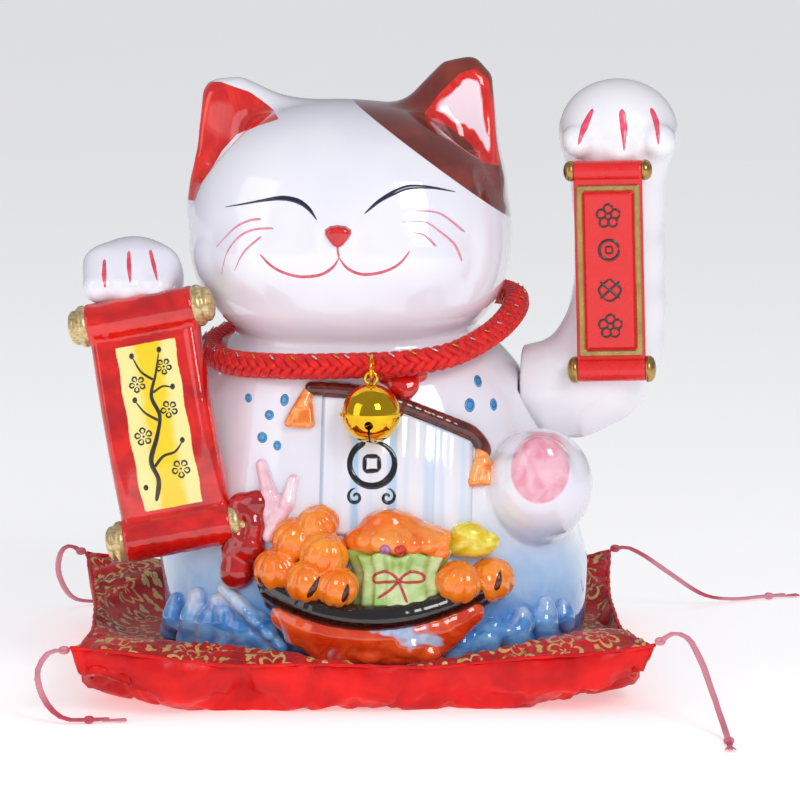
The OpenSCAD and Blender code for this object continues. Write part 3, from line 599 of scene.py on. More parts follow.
def body_shape(x, y, z):
    rx, ry = body_rx(z), body_ry(z)
    outline = (np.abs((x - body_cx(z)) / rx) ** ROUNDNESS + np.abs((y - BODY_Y) / ry) ** ROUNDNESS)
    side = (outline ** (1 / ROUNDNESS) - 1) * np.minimum(rx, ry)
    return smooth_max(smooth_max(side, BASE_Z - z, 3), z - 150, 3).astype(np.float32)


def front_y(x, z, stand=0.0):
    """Depth of the body's front at a width and height, standing off by stand."""
    across = np.abs((np.asarray(x) - body_cx(z)) / body_rx(z)) ** ROUNDNESS
    return BODY_Y - body_ry(z) * np.maximum(0.02, 1 - across) ** (1 / ROUNDNESS) - stand


def on_chest(x, z, stand=0.0):
    return np.array([x, front_y(x, z, stand), z])


def head_shape(x, y, z):
    roll = math.radians(HEAD_ROLL)
    x, y, z = x - HEAD_C[0], y - HEAD_C[1], z - HEAD_C[2]
    x, z = x * math.cos(roll) - z * math.sin(roll), x * math.sin(roll) + z * math.cos(roll)
    wide = 1 - 0.03 * z / HEAD_R[2]
    flat = np.abs(x / (HEAD_R[0] * wide)) ** 2.35 + np.abs(y / (HEAD_R[1] * wide)) ** 2.35
    whole = (flat ** (2.33 / 2.35) + np.abs(z / HEAD_R[2]) ** 2.33) ** (1 / 2.33)
    return (whole - 1) * 50


def ear_shape(corners, rounding, y_mid):
    """A thick rounded blade, thinner towards its tip."""
    inner = [np.array(c) for c in corners]

    def distance(x, y, z):
        thick = np.interp(z, [196, 215, 242], [15, 11, 5])
        flat = flat_side(x, z, inner) - rounding
        return smooth_max(flat, np.abs(y - y_mid) - thick, 7)

    xs, zs = [c[0] for c in corners], [c[1] for c in corners]
    low = np.array([min(xs) - rounding, y_mid - 16, min(zs) - rounding])
    return distance, low, np.array([max(xs) + rounding, y_mid + 16, max(zs) + rounding])


def build_cat_clay():
    clay = Clay((-110, -76, 11), (104, 80, 250), CAT_STEP)
    whole = (clay.low, clay.low + clay.step * np.array(clay.field.shape))
    clay.add((body_shape, *whole))
    clay.add((head_shape, np.array([-68, -62, 122]), np.array([66, 50, 232])), 5)
    for side in (-1, 1):
        clay.add(ball((side * 24 - 1, -42, 170), 15.5, (1.45, 1, 1)), 7)      # cheeks
    clay.add(ball((-1, -46, 186), 10, (0.9, 1, 1.3)), 8)                       # bridge of the nose
    clay.add(ear_shape(LEFT_EAR, 7, -2), 7)
    clay.add(ear_shape(RIGHT_EAR, 6.5, -2), 7)
    clay.cut(ball((-53, -18, 214), 10, (1.2, 0.9, 1.9)), 5)                      # hollows of the ears
    clay.cut(ball((46, -17, 224), 8.5, (1.1, 0.9, 1.8)), 5)
    clay.add(ball((-40, 14, 60), 34, (1.12, 1.3, 1.25)), 14)                   # haunches
    clay.add(rod((-48, 8, 112), (-66, 2, 116), 17, 15), 9)
    clay.add(rod((-66, 2, 116), (-80, -8, 128), 15, 14), 6)
    clay.add(rod((-80, -8, 128), (-86, -18, 143), 14, 13), 5)
    clay.add(ball(PAW_C, 19.2, (1.04, 0.9, 0.9)), 2)
    for dx in (-12, -0.5, 11):
        clay.add(rod((PAW_C[0] + dx * 0.9, -29, 163), (PAW_C[0] + dx, -38, 156.5), 9.2, 6.6), 3.2)
    clay.add(ball(FOOT_C, 21.5, (0.97, 1, 1.02)), 2)
    clay.add(rod((70, -28, 74), (64, -14, 52), 20, 22), 8)
    clay.add(rod((58, -8, 40), (64, -10, 26), 23, 12), 6)
    clay.add(ball((78, -57.5, 90), 9, (1.2, 0.75, 1.35)), 4)                   # pad of the foot
    tail = curve_through([(-20, 62, 34), (-34, 70, 44), (-44, 68, 58)], 4)
    for a, b, r in zip(tail[:-1], tail[1:], np.linspace(11, 8, len(tail) - 1)):
        clay.add(rod(a, b, r, r), 3)

    def openings(field, x, y, z):
        shoulder = smooth_max(np.sqrt((y - SHAFT_Y) ** 2 + (z - AXIS_Z) ** 2) - 21, SHOULDER_X - x, 0.6)
        across = np.sqrt((x - 8) ** 2 + (y - 4) ** 2)
        seat = np.maximum(across - 50.5, z - 19)
        cavity = np.maximum(across - 46, z - 26)
        shaft = np.maximum(np.sqrt((y - SHAFT_Y) ** 2 + (z - AXIS_Z) ** 2) - 4, 50 - x)
        field = np.maximum(field, -shoulder)
        for hole in (seat, cavity, shaft):
            field = np.maximum(field, -hole)
        return np.maximum(field, BASE_Z + 0.02 - z)

    clay.shape(openings)
    return clay


LEFT_INNER_EAR = [(-53, 235.4), (-41, 231.6), (-27, 222.4), (-36, 219.4), (-46, 214.8), (-52, 208.2),
                  (-57, 199.3), (-61, 189.5), (-68, 189), (-70, 214), (-66, 235)]
RIGHT_INNER_EAR = [(28.6, 223.6), (34.6, 231.6), (42.5, 239.4), (48.4, 241.2), (53.5, 237), (56, 226),
                   (58.5, 212), (58.5, 203.5), (52.4, 205), (46.5, 212.3), (38.5, 218.4)]
PATCH_NORMAL, PATCH_AT = (0.59, 0.063, 0.805), 183.57


def cat_look():
    """White porcelain with a brown patch, painted ears, a pink pad and airbrushed blue water; a pale pink
    painted reflection lies in the right ear's red lining.
    """
    look = porcelain("cat_glaze")
    colour = look.tone
    height = look.axis("Z")
    drift = look.math("MULTIPLY", look.math("SUBTRACT", look.noise(17, 3, 0.6, 0.5), 0.5), 26.0)
    water = look.math("ADD", height, drift)
    colour = look.mix(look.step(water, 76, 38, 0, 0.85), colour, "8cc2f2")
    colour = look.mix(look.step(water, 46, 24, 0, 0.9), colour, "3a8fdc")
    colour = look.mix(look.step(water, 24, 12, 0, 0.6), colour, "1f5fa8")
    speckle = look.step(look.noise(8, 2, 0.5, 0.8), 0.4, 0.7)
    pad = look.mix(speckle, "f0b9c8", "e48fa6")
    colour = look.mix(look.step(look.stored("pad"), 0.5, -0.5), colour, pad)
    brown = look.mix(look.step(look.noise(12, 3), 0.4, 0.7), "6a2118", "84301f")
    colour = look.mix(look.step(look.stored("patch"), -0.12, 0.12), colour, brown)
    red = look.mix(look.step(look.noise(8, 3, 0.6, 0.8, (1, 1, 0.4)), 0.36, 0.7), "cc0c08", "ec2a1a")
    colour = look.mix(look.step(look.stored("left_ear"), 0.15, -0.15), colour, red)
    # The right ear's lining is red with a pale pink patch inside it: the pale patch is a painted reflection
    # of the window light on the red glaze.
    brush = look.wavered(look.stored("right_ear"), look.noise(15, 2, 0.5, 0.7, (1, 1, 0.5)), 9.0)
    red_lining_with_painted_reflection = look.mix(look.step(brush, 0.4, 1.5), "f7dfe8", red)
    colour = look.mix(look.step(look.stored("right_ear"), 0.15, -0.15), colour, red_lining_with_painted_reflection)
    look.colour(colour)
    return look


def paint_cat(cat):
    p = points_of(cat)
    x, y, z = p.T
    left = np.maximum(flat_side(x, z, LEFT_INNER_EAR), y + 1.0)
    right = np.maximum(flat_side(x, z, RIGHT_INNER_EAR), y + 1.0)
    plane = p @ np.array(PATCH_NORMAL) - PATCH_AT - 0.7 * np.maximum(y - 12, 0)
    paint_number(cat, "left_ear", left)
    paint_number(cat, "right_ear", right)
    paint_number(cat, "patch", np.minimum(plane, np.where(z > 150, 9, -9)))
    pad = (np.sqrt(((x - 77.8) / 11.4) ** 2 + ((z - 89.5) / 13) ** 2) - 1) * 11
    paint_number(cat, "pad", np.where(y < -46, pad, 9))


# ---------- brush strokes: raised enamel lines and spots on a surface ----------
class Brush:
    """Lays paint on a piece, looking at it from the front."""

    along = Vector((0, 1, 0))

    def __init__(self, piece):
        points = points_of(piece)
        faces = [tuple(p.vertices) for p in piece.data.polygons]
        self.tree = BVHTree.FromPolygons([Vector(p) for p in points], faces)

    def touch(self, x, z, lift):
        """The surface point in front of (x, z), lifted off along the surface's normal."""
        start = Vector((x, 0, z)) - self.along * 300
        place, normal, _, _ = self.tree.ray_cast(start, self.along)
        if place is None:
            place, normal, _, _ = self.tree.find_nearest(Vector((x, -60, z)))
        if normal.dot(self.along) > 0:
            normal = -normal
        return np.array(place + normal * lift)

    def stroke(self, route, width, thick=0.22, taper=(0.15, 0.15)):
        """(points, faces) of one stroke; route is (x, z) pairs, width one number or one for each pair."""
        route = np.asarray(route, float)
        line = curve_through(np.c_[route, np.zeros(len(route))], 8)
        widths = np.interp(np.linspace(0, 1, len(line)), np.linspace(0, 1, len(np.atleast_1d(width))),
                           np.atleast_1d(width)) if np.ndim(width) else np.full(len(line), float(width))
        total = np.linalg.norm(np.diff(line, axis=0), axis=1).sum()
        count = max(6, int(total / 0.8))
        at = np.linspace(0, 1, count)
        run = np.linspace(0, 1, len(line))
        line = np.stack([np.interp(at, run, line[:, k]) for k in (0, 1)], 1)
        widths = np.interp(at, run, widths)
        ends = np.clip(np.minimum(at / max(taper[0], 1e-3), (1 - at) / max(taper[1], 1e-3)), 0, 1)
        widths = widths * (0.25 + 0.75 * np.sqrt(ends))
        ahead = np.gradient(line, axis=0)
        ahead /= np.linalg.norm(ahead, axis=1)[:, None] + 1e-9
        side = np.stack([-ahead[:, 1], ahead[:, 0]], 1)
        shape = [(-0.5, -0.12), (-0.34, 0.75), (0, 1.0), (0.34, 0.75), (0.5, -0.12), (0, -1.2)]
        points = []
        for i in range(count):
            for across, lift in shape:
                x, z = line[i] + side[i] * across * widths[i]
                points.append(self.touch(x, z, lift * thick))
        faces = []
        n = len(shape)
        for i in range(count - 1):
            for k in range(n):
                j = (k + 1) % n
                faces.append((i * n + k, (i + 1) * n + k, (i + 1) * n + j, i * n + j))
        faces.append(tuple(range(n)))
        faces.append(tuple(range(count * n - 1, (count - 1) * n - 1, -1)))
        return np.array(points), faces

    def spot(self, centre, outline, height=0.25, rings=3, round_top=True):
        """(points, faces) of a filled spot; outline is (dx, dz) pairs round its centre."""
        outline = np.asarray(outline, float)
        n = len(outline)
        points = [self.touch(*centre, height)]
        for k in range(1, rings + 1):
            share = k / rings
            rise = height * math.sqrt(max(0, 1 - share ** 4)) if round_top else height
            for dx, dz in outline:
                lift = rise if k < rings else -0.05
                points.append(self.touch(centre[0] + dx * share, centre[1] + dz * share, lift))
        points.append(self.touch(*centre, -0.4))
        faces = [(0, 1 + i, 1 + (i + 1) % n) for i in range(n)]
        for k in range(rings - 1):
            a, b = 1 + k * n, 1 + (k + 1) * n
            faces += [(a + i, b + i, b + (i + 1) % n, a + (i + 1) % n) for i in range(n)]
        last, under = 1 + (rings - 1) * n, len(points) - 1
        faces += [(last + i, under, last + (i + 1) % n) for i in range(n)]
        return np.array(points), faces


def egg(rx, rz, count=16, lean=0.0):
    a = 2 * math.pi * np.arange(count) / count
    x, z = rx * np.cos(a), rz * np.sin(a)
    c, s = math.cos(math.radians(lean)), math.sin(math.radians(lean))
    return np.stack([x * c - z * s, x * s + z * c], 1)


def enamel(name, code, pale, roughness=0.16):
    look = Look(name, Coat_Weight=0.8, Coat_Roughness=0.04)
    look.colour(look.mix(look.step(look.noise(3.5, 3, 0.6), 0.35, 0.7), code, pale))
    look.roughness(look.step(look.noise(6, 2), 0.3, 0.7, roughness, roughness + 0.12))
    look.bump(look.noise(1.4, 2), 0.02)
    return look


def add_face(cat):
    """Painted face: eyes, nose, mouth, whiskers and claws."""
    brush = Brush(cat)
    ink, rose, pink = enamel("eye_ink", "0d0f2e", "1c2049"), enamel("lip_paint", "d04a5e", "e0667a"), \
        enamel("whisker_paint", "dc7a90", "e89aac")
    eyes = [brush.stroke([(-46.6, 189.1), (-39.5, 190.6), (-31.2, 192.4), (-23.2, 193.6), (-17, 192.6),
                          (-12.6, 189.8), (-9.3, 185.6)], (0.45, 0.7, 1.1, 2.0, 2.2, 1.7, 0.9)),
            brush.stroke([(9.2, 188), (14.3, 192.5), (20.3, 196), (26.3, 198), (34.5, 197.6), (43.4, 195.6)],
                         (0.8, 1.5, 2.1, 2.0, 1.1, 0.5))]
    new_piece("eye_lines", *joined(eyes), "cat", ink, "glaze_black")
    mouth = [brush.stroke([(-1.2, 176), (-1.1, 173.4), (-0.6, 170.8)], 0.9, taper=(0.01, 0.01)),
             brush.stroke([(-0.6, 171), (-3, 167.3), (-7.3, 164.4), (-12.9, 163.4), (-18, 163.7),
                           (-23.9, 165.7),
                           (-27.9, 168.3), (-31.4, 171.9)], (0.9, 1.2, 1.3, 1.2, 1.1, 1.1)),
             brush.stroke([(-0.6, 171), (2.1, 167.3), (5.9, 165.1), (10.4, 164.5), (17.1, 165.8),
                           (22.9, 168.9),
                           (26.9, 173.8)], (0.9, 1.2, 1.3, 1.1, 0.9))]
    new_piece("mouth_lines", *joined(mouth), "cat", rose, "glaze_red")
    routes = [[(-50, 173.4), (-42.2, 181.4), (-36, 184.6), (-31.5, 185.3)],
              [(-47.9, 162.8), (-45.2, 171.7), (-40.1, 178.3), (-33.9, 181.3), (-26.2, 182)],
              [(-42, 165), (-38, 172.6), (-31.1, 178.8)],
              [(28.8, 188.9), (37.9, 187.6), (47.2, 180)],
              [(23.6, 184.8), (32.3, 184.6), (37.9, 180.9), (43.6, 175.6), (46.3, 169)],
              [(27.8, 180.8), (32.3, 179.6), (36.8, 175.3)]]
    new_piece("whiskers", *joined([brush.stroke(r, (0.4, 0.8, 0.9, 0.95), taper=(0.5, 0.1)) for r in routes]),
              "cat", pink, "glaze_red")
    nose = [(5.3, 3.2), (3.2, 4.6), (0, 5.0), (-3.2, 4.5), (-5.2, 3.0), (-5.2, 1.2), (-3.8, -1.2),
            (-2.0, -3.3),
            (0, -4.2), (2.0, -3.2), (3.9, -0.9), (5.3, 1.4)]
    new_piece("nose", *brush.spot((-1, 178.8), nose, 2.0, rings=5), "cat",
              enamel("nose_paint", "c01016", "d8221f", 0.1), "glaze_red")
    claws = [brush.stroke([(-95.3, 167.4), (-94.9, 162), (-94.2, 156.8)], (1.3, 1.9, 1.1), 0.15, (0.1, 0.4)),
             brush.stroke([(-85.8, 170.6), (-85.2, 165), (-84.2, 158.8)], (1.4, 1.9, 1.0), 0.15, (0.1, 0.4)),
             brush.stroke([(-77.6, 171), (-75.6, 165.5), (-73.6, 159.8)], (1.3, 1.7, 0.9), 0.15, (0.1, 0.4))]
    new_piece("claw_marks", *joined(claws), "cat", enamel("claw_paint", "de3850", "ee6a80"), "glaze_red")
    drops = [((-37.9, 113.8), 1.7, 1.9, 0), ((-23, 114), 1.9, 2.6, -10), ((-29, 108), 2.1, 2.1, 0),
             ((-31.6, 99.3), 2.3, 2.3, 0), ((-25.4, 96.6), 1.8, 2.1, 0), ((51.7, 120.3), 1.5, 2.6, 20),
             ((49, 111.8), 2.1, 2.9, 10), ((57.9, 111.2), 1.4, 2.6, 12)]
    blue = enamel("drop_blue", "2c84c4", "5aa9dc")
    new_piece("blue_drops", *joined([brush.spot(c, egg(rx, rz, 14, lean), 0.2) for c, rx, rz, lean in drops]),
              "cat", blue, "glaze_blue")
    rings = [brush.stroke(np.array(c) + egg(rx * 0.55, rz * 0.5, 9, lean)[[0, 1, 2, 3, 4, 5, 6, 7, 8, 0]],
                          0.5, 0.3)
             for c, rx, rz, lean in drops]
    new_piece("drop_rings", *joined(rings), "cat", enamel("drop_deep", "17568f", "2371b0"), "glaze_blue")


# ---------- swinging arm ----------
ARM = [  # x, z, radius across, radius in depth
    (67, 112.5, 17, 17), (76, 112.5, 18.5, 17.5), (87, 114, 20.2, 18), (96, 120, 21.5, 18.5),
    (102, 131, 20.5, 18.5),
    (105, 146, 18.5, 18), (105.5, 168, 17.5, 17), (105, 190, 18, 17), (104.5, 206, 20.6, 18)]


def build_arm_clay():
    clay = Clay((60, -26, 86), (134, 32, 240), 1.1)
    for a, b in zip(ARM[:-1], ARM[1:]):
        deep = (a[3] + b[3]) / (a[2] + b[2])
        limb = rod((a[0], 0, a[1]), (b[0], 0, b[1]), a[2], b[2])

        def squeezed(x, y, z, limb=limb, deep=deep):
            return limb[0](x, (y - SHAFT_Y) / deep, z) * deep

        clay.add((squeezed, limb[1] + (0, SHAFT_Y, 0), limb[2] + (0, SHAFT_Y, 0)), 3)
    clay.add(ball((104.5, SHAFT_Y, 217), 1, (23.3, 20.5, 20)), 5)
    for dx, low in ((-14.5, 207.5), (2.5, 204.5), (17, 208)):
        clay.add(rod((104 + dx * 0.8, -3, 215), (104 + dx, -12, low + 5.6), 11, 6.8), 3.2)

    def cut_end(field, x, y, z):
        return smooth_max(field, SHOULDER_X + 0.6 - x, 0.8)

    clay.shape(cut_end)
    return clay


def add_arm():
    """Two shells that meet in a fine seam down the arm's sides."""
    clay = build_arm_clay()
    whole = clay.field.copy()
    shells = {}
    white = moulded("arm_plastic", "f1eff5", 0.16, 0.985)
    white.shader.inputs["Coat Weight"].default_value = 0.7
    white.shader.inputs["Coat Roughness"].default_value = 0.05
    for name, side in (("arm_front_shell", 1), ("arm_back_shell", -1)):
        clay.field = whole.copy()

        def halve(field, x, y, z, side=side):
            wall = np.maximum(field, -(field + 2.2))
            return smooth_max(wall, side * (y - SHAFT_Y) + 0.12, 0.35)

        clay.shape(halve)
        shells[name] = fired("shown_" + name, clay, "arm", white, "plastic_white", name, rounds=1)
    brush = Brush(shells["arm_front_shell"])
    claws = [brush.stroke([(95.2, 226), (92, 219), (89.9, 212.3)], (1.6, 2.8, 1.5), 0.15, (0.2, 0.45)),
             brush.stroke([(106.6, 226), (107.6, 218), (107.8, 210)], (2.6, 3.0, 1.1), 0.15, (0.15, 0.6)),
             brush.stroke([(117.9, 226.2), (120.4, 220), (121.3, 212.6)], (1.8, 2.4, 1.2), 0.15, (0.2, 0.45))]
    new_piece("arm_claw_marks", *joined(claws), "arm", enamel("arm_claw_paint", "ea3a5c", "f2607a", 0.3),
              "plastic_red")


# ---------- scrolls ----------
SCROLL_C, SCROLL_W, SCROLL_HALF = np.array([-72.0, -49, 104]), 48, 43
SCROLL_LEAN = (-9, -11)        # degrees about X, then about Y
SCROLL_REACH = 62              # no part of the scroll is further from its centre
ARM_SCROLL_LEAN = (0, -1.5)
ARM_SCROLL_C, ARM_SCROLL_W, ARM_SCROLL_HALF = np.array([102.5, -19.2, 163]), 27, 38.5


def turned(points, centre, about_x=0.0, about_y=0.0):
    """Points in a leaning panel's own frame, set in place: first leaned about X, then turned about Y."""
    x, y, z = np.asarray(points, float).reshape(-1, 3).T
    a, b = math.radians(about_x), math.radians(about_y)
    y, z = y * math.cos(a) - z * math.sin(a), y * math.sin(a) + z * math.cos(a)
    x, z = x * math.cos(b) + z * math.sin(b), -x * math.sin(b) + z * math.cos(b)
    return np.stack([x, y, z], 1) + centre


def scroll_place(points):
    return turned(points, SCROLL_C, *SCROLL_LEAN)


def arm_scroll_place(points):
    return turned(points, ARM_SCROLL_C, *ARM_SCROLL_LEAN)


def in_frame(solid, centre, about_x, about_y, reach):
    """A solid given in a leaning frame, as one in the part's frame."""
    a, b = math.radians(about_x), math.radians(about_y)

    def distance(x, y, z):
        x, y, z = x - centre[0], y - centre[1], z - centre[2]
        x, z = x * math.cos(b) - z * math.sin(b), x * math.sin(b) + z * math.cos(b)
        y, z = y * math.cos(a) + z * math.sin(a), -y * math.sin(a) + z * math.cos(a)
        return solid(x, y, z)

    return distance, centre - reach, centre + reach


def scroll_front(z):
    """How far the scroll's sheet stands forward of its middle plane at a height."""
    return 3.6 - 5.2 * (1 - (z / SCROLL_HALF) ** 2)


def scroll_sheet(x, y, z):
    """Sheet with rounded sides, a roll at each end and a soft ridge along each side."""
    half = SCROLL_W / 2 - 2.2
    ridge = 0.9 * np.exp(-((np.abs(x) - half + 3) / 2.0) ** 2)
    sheet = np.abs(y - scroll_front(z)) - 6.0 - ridge
    side = np.abs(x) - half
    body = smooth_max(sheet, side, 4.5)
    body = smooth_max(body, np.abs(z) - SCROLL_HALF, 1)
    rolls = FAR
    for end in (-1, 1):
        wobble = 0.35 * np.sin(x * 0.55 + end) + 0.2 * np.sin(x * 1.3)
        roll = np.sqrt((y - 0.2) ** 2 + (z - end * SCROLL_HALF) ** 2) - 8.4 - 0.25 * wobble
        rolls = np.minimum(rolls, smooth_max(roll, np.abs(x) - half, 1.5))
    return smooth_min(body, rolls, 1.2)


def add_big_scroll():
    """Scroll in the raised paw: sheet, gold end knobs and an ink painting."""
    clay = Clay((-112, -80, 42), (-30, -26, 168), 0.85)
    clay.add(in_frame(scroll_sheet, SCROLL_C, *SCROLL_LEAN, SCROLL_REACH))
    scroll = fired("scroll_sheet", clay, "cat", scroll_look(), "glaze_red", "big_scroll", rounds=2)
    p = points_of(scroll) - SCROLL_C
    a, b = np.radians(SCROLL_LEAN)
    x, z = p[:, 0] * math.cos(b) - p[:, 2] * math.sin(b), p[:, 0] * math.sin(b) + p[:, 2] * math.cos(b)
    y, z = p[:, 1] * math.cos(a) + z * math.sin(a), -p[:, 1] * math.sin(a) + z * math.cos(a)
    panel = np.maximum(np.abs(x - 0.3) - 11.9 + 0.25 * np.sin(z * 0.35), np.abs(z + 0.6) - 32.6)
    paint_number(scroll, "panel", np.where(y < scroll_front(z) - 2, panel, 9))
    paint_number(scroll, "panel_x", x)
    paint_number(scroll, "panel_z", z)
    knobs = []
    for z, side in ((-SCROLL_HALF, -1), (-SCROLL_HALF, 1), (SCROLL_HALF, -1), (SCROLL_HALF, 1)):
        base, out = scroll_place((side * (SCROLL_W / 2 - 3.4), 0, z))[0], \
            scroll_place((side * 30, 0, z))[0] - scroll_place((side * 20, 0, z))[0]
        profile = [(0.01, 0), (6.6, 0), (7.9, 0.7), (8.35, 2.0), (8.2, 3.4), (7.4, 4.4), (6.7, 4.9),
                   (6.9, 5.6),
                   (6.6, 6.7), (5.2, 7.9), (2.8, 8.6), (0.01, 8.8)]
        knobs.append(lathe(profile, base, out, 44))
    knob_piece = new_piece("scroll_end_knobs", *joined(knobs), "cat", gold_paint("knob_gold"), "paint_gold")
    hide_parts("big_scroll_knobs")
    brush = Brush(scroll)
    ink = enamel("scroll_ink", "17110c", "3a2a18", 0.3)
    new_piece("scroll_ornament", *joined(plum_branch(brush, lambda x, z: scroll_place((x, -2.6 - 4, z))[0])),
              "cat", ink, "glaze_black")


def scroll_look():
    """Red glaze with a hand-brushed yellow panel, deeper yellow pooling round its middle."""
    look = glaze("scroll_red", "b8060a", "e4170e", 18, 0.04)
    red = look.shader.inputs["Base Color"].links[0].from_socket
    edge = look.wavered(look.stored("panel"), look.noise(2.2, 2), 0.5)
    near = look.math("ABSOLUTE", look.math("SUBTRACT", look.stored("panel_x"), 0.8))
    pool = look.wavered(look.step(near, 9, 2), look.noise(7, 3, 0.6), 0.8)
    yellow = look.mix(look.step(pool, 0.55, 1.35), "f6ec9c", "f4d51e")
    look.colour(look.mix(look.step(edge, 0.3, -0.05), red, yellow))
    return look


def flat_strokes(brush, place, routes, widths, thick=0.16, taper=(0.1, 0.2)):
    """Strokes whose route is given in a panel's own frame."""
    made = []
    for route, width in zip(routes, widths):
        spots = np.array([place(x, z) for x, z in route])
        made.append(brush.stroke(spots[:, [0, 2]], width, thick, taper))
    return made


def plum_branch(brush, place):
    """Ink painting that fills the scroll: a plum branch with blossoms and buds."""
    branch = [[(-6, -30), (-3.5, -22), (-5, -14), (-1, -5), (1.5, 3), (-0.5, 11), (2.5, 19), (5, 27)],
              [(-4.5, -17), (0, -13), (5, -12), (8.5, -8.5)], [(1, 1), (-4, 5), (-7, 10)],
              [(0, 12), (4.5, 14), (8, 13)], [(1.5, 17), (-3, 21), (-5.5, 27)]]
    made = flat_strokes(brush, place, branch,
                        [(2.4, 1.8, 2.1, 1.5, 1.7, 1.2, 1.0), (1.4, 1.1, 0.7), (1.3, 0.9, 0.6),
                                               (1.1, 0.6), (1.2, 0.9, 0.6)])
    for cx, cz, r in ((6, -19, 2.6), (-6.2, -4, 2.5), (5.6, 4.8, 2.4), (-5.2, 16.5, 2.3), (6.2, 21.5, 2.2)):
        for k in range(5):
            a = math.radians(72 * k + 20 * cx)
            petal = [(cx + r * (0.42 + 0.95 * t) * math.cos(a + s),
                      cz + r * (0.42 + 0.95 * t) * math.sin(a + s))
                     for t, s in ((0, 0), (0.7, 0.42), (1.0, 0.0), (0.7, -0.42), (0, 0))]
            made += flat_strokes(brush, place, [petal], [(0.45, 0.8, 0.9, 0.8, 0.45)], 0.14, (0.02, 0.02))
        spot = place(cx, cz)
        made.append(brush.spot((spot[0], spot[2]), egg(0.55, 0.55, 9), 0.2, 2))
    for x, z in ((8.6, -8), (-7.2, 10.6), (8.4, 13.2), (-5.8, 27.6), (5.3, 28.2), (-9, -24)):
        spot = place(x, z)
        made.append(brush.spot((spot[0], spot[2]), egg(1.1, 1.3, 10), 0.25, 2))
    return made


def knot_ornament(brush, place):
    """Four small emblems in a column: blossom, pierced coin, knot and blossom."""
    routes, widths = [], []

    def blossom(cz):
        for k in range(5):
            lean = math.pi * (0.5 + 0.4 * k)
            x, z = 2.9 * math.cos(lean), cz + 2.9 * math.sin(lean)
            routes.append([(x + 1.8 * math.cos(a), z + 1.8 * math.sin(a)) for a in np.linspace(0, 6.3, 10)])
            widths.append(1.0)

    blossom(21.5)
    ring = [(3.9 * math.cos(a), 8.2 + 3.9 * math.sin(a)) for a in np.linspace(0.2, 6.4, 13)]
    square = [(-1.3, 6.9), (1.3, 6.9), (1.3, 9.5), (-1.3, 9.5), (-1.3, 6.9)]
    routes += [ring] + [square[i:i + 2] for i in range(4)]
    widths += [1.3] + [0.8] * 4
    cz = -7.6
    for sx, sz in ((1, 1), (1, -1)):
        routes.append([(-3.9 * sx, cz - 3.4 * sz), (0, cz), (3.9 * sx, cz + 3.4 * sz)])
        widths.append((0.9, 1.2, 0.9))
    routes.append([(0, cz + 4.4), (4.4, cz), (0, cz - 4.4), (-4.4, cz), (0, cz + 4.4)])
    widths.append(1.0)
    blossom(-22)
    return flat_strokes(brush, place, routes, widths, 0.28, (0.06, 0.1))


def arm_sheet(x, y, z):
    half = ARM_SCROLL_W / 2
    sheet = smooth_max(smooth_max(np.abs(y) - 1.9, np.abs(x) - half, 0.7), np.abs(z) - ARM_SCROLL_HALF, 0.3)
    panel = np.maximum(np.maximum(np.abs(x) - 9.4, np.abs(z) - 30.6), np.abs(y + 1.9) - 0.75)
    body = smooth_min(sheet, panel, 0.2)
    for end, r in ((-1, 4.7), (1, 3.9)):
        roll = np.sqrt(y ** 2 + (z - end * (ARM_SCROLL_HALF + 0.8)) ** 2) - r
        body = np.minimum(body, smooth_max(roll, np.abs(x) - half, 0.6))
    for z0 in (-26, 26):
        body = np.minimum(body,
                          np.maximum(np.maximum(np.abs(x) - 6, np.abs(y - 5) - 4.5), np.abs(z - z0) - 4))
    return body


def add_arm_scroll():
    clay = Clay((86, -27, 117), (120, -6, 210), 0.5)
    clay.add(in_frame(arm_sheet, ARM_SCROLL_C, 0, -1.5, 50))
    red = moulded("arm_scroll_red", "e21d1f", 0.3, 0.9)
    red.shader.inputs["Coat Weight"].default_value = 0.35
    sheet = fired("arm_scroll_sheet", clay, "arm", red, "plastic_red", "arm_scroll", rounds=1)
    corners = [(-1, -1), (1, -1), (1, 1), (-1, 1)]
    rings = []
    for half_x, half_z, y in ((12.6, 33.9, -1.6), (12.5, 33.8, -2.75), (12.1, 33.4, -3.1), (10.6, 31.9, -3.1),
                              (10.2, 31.5, -2.75), (10.1, 31.4, -1.6)):
        for cx, cz in corners:
            for turn in np.linspace(0, 90, 5):
                a = math.radians(turn + {(-1, -1): 180, (1, -1): 270, (1, 1): 0, (-1, 1): 90}[(cx, cz)])
                r = 1.0
                rings.append((cx * (half_x - r) + r * math.cos(a), y, cz * (half_z - r) + r * math.sin(a)))
    n, rows = 20, 6
    faces = [(r * n + k, (r + 1) % rows * n + k, (r + 1) % rows * n + (k + 1) % n, r * n + (k + 1) % n)
             for r in range(rows) for k in range(n)]
    gold = metal("frame_gold", "c9a56a", 0.36, True, 0.8)
    border = new_piece("arm_scroll_border", arm_scroll_place(rings), faces, "arm", gold, "plastic_gold",
                       smooth=False)
    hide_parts("arm_scroll_frame")
    knobs = []
    for z, r, side in ((-1, 5.3, -1), (-1, 5.3, 1), (1, 4.1, -1), (1, 4.1, 1)):
        base = arm_scroll_place((side * (ARM_SCROLL_W / 2 - 0.2), 0, z * (ARM_SCROLL_HALF + 0.8)))[0]
        profile = [(0.01, 0), (r * 0.86, 0), (r * 0.98, 0.5), (r, 1.3), (r * 0.96, 2.2), (r * 0.8, 3.2),
                   (r * 0.5, 3.9), (r * 0.18, 4.15), (0.01, 4.2)]
        knobs.append(lathe(profile, base, (side, 0, side * math.sin(math.radians(1.5))), 36))
    ends = new_piece("arm_scroll_end_knobs", *joined(knobs), "arm",
                     metal("arm_knob_gold", "c3a162", 0.3, True, 0.8),
                     "plastic_gold")
    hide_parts("arm_scroll_knobs")
    brush = Brush(sheet)
    new_piece("arm_scroll_ornament",
              *joined(knot_ornament(brush, lambda x, z: arm_scroll_place((x, -3, z))[0])),
              "arm", enamel("emblem_ink", "1d1416", "3a1c1c", 0.3), "plastic_dark")


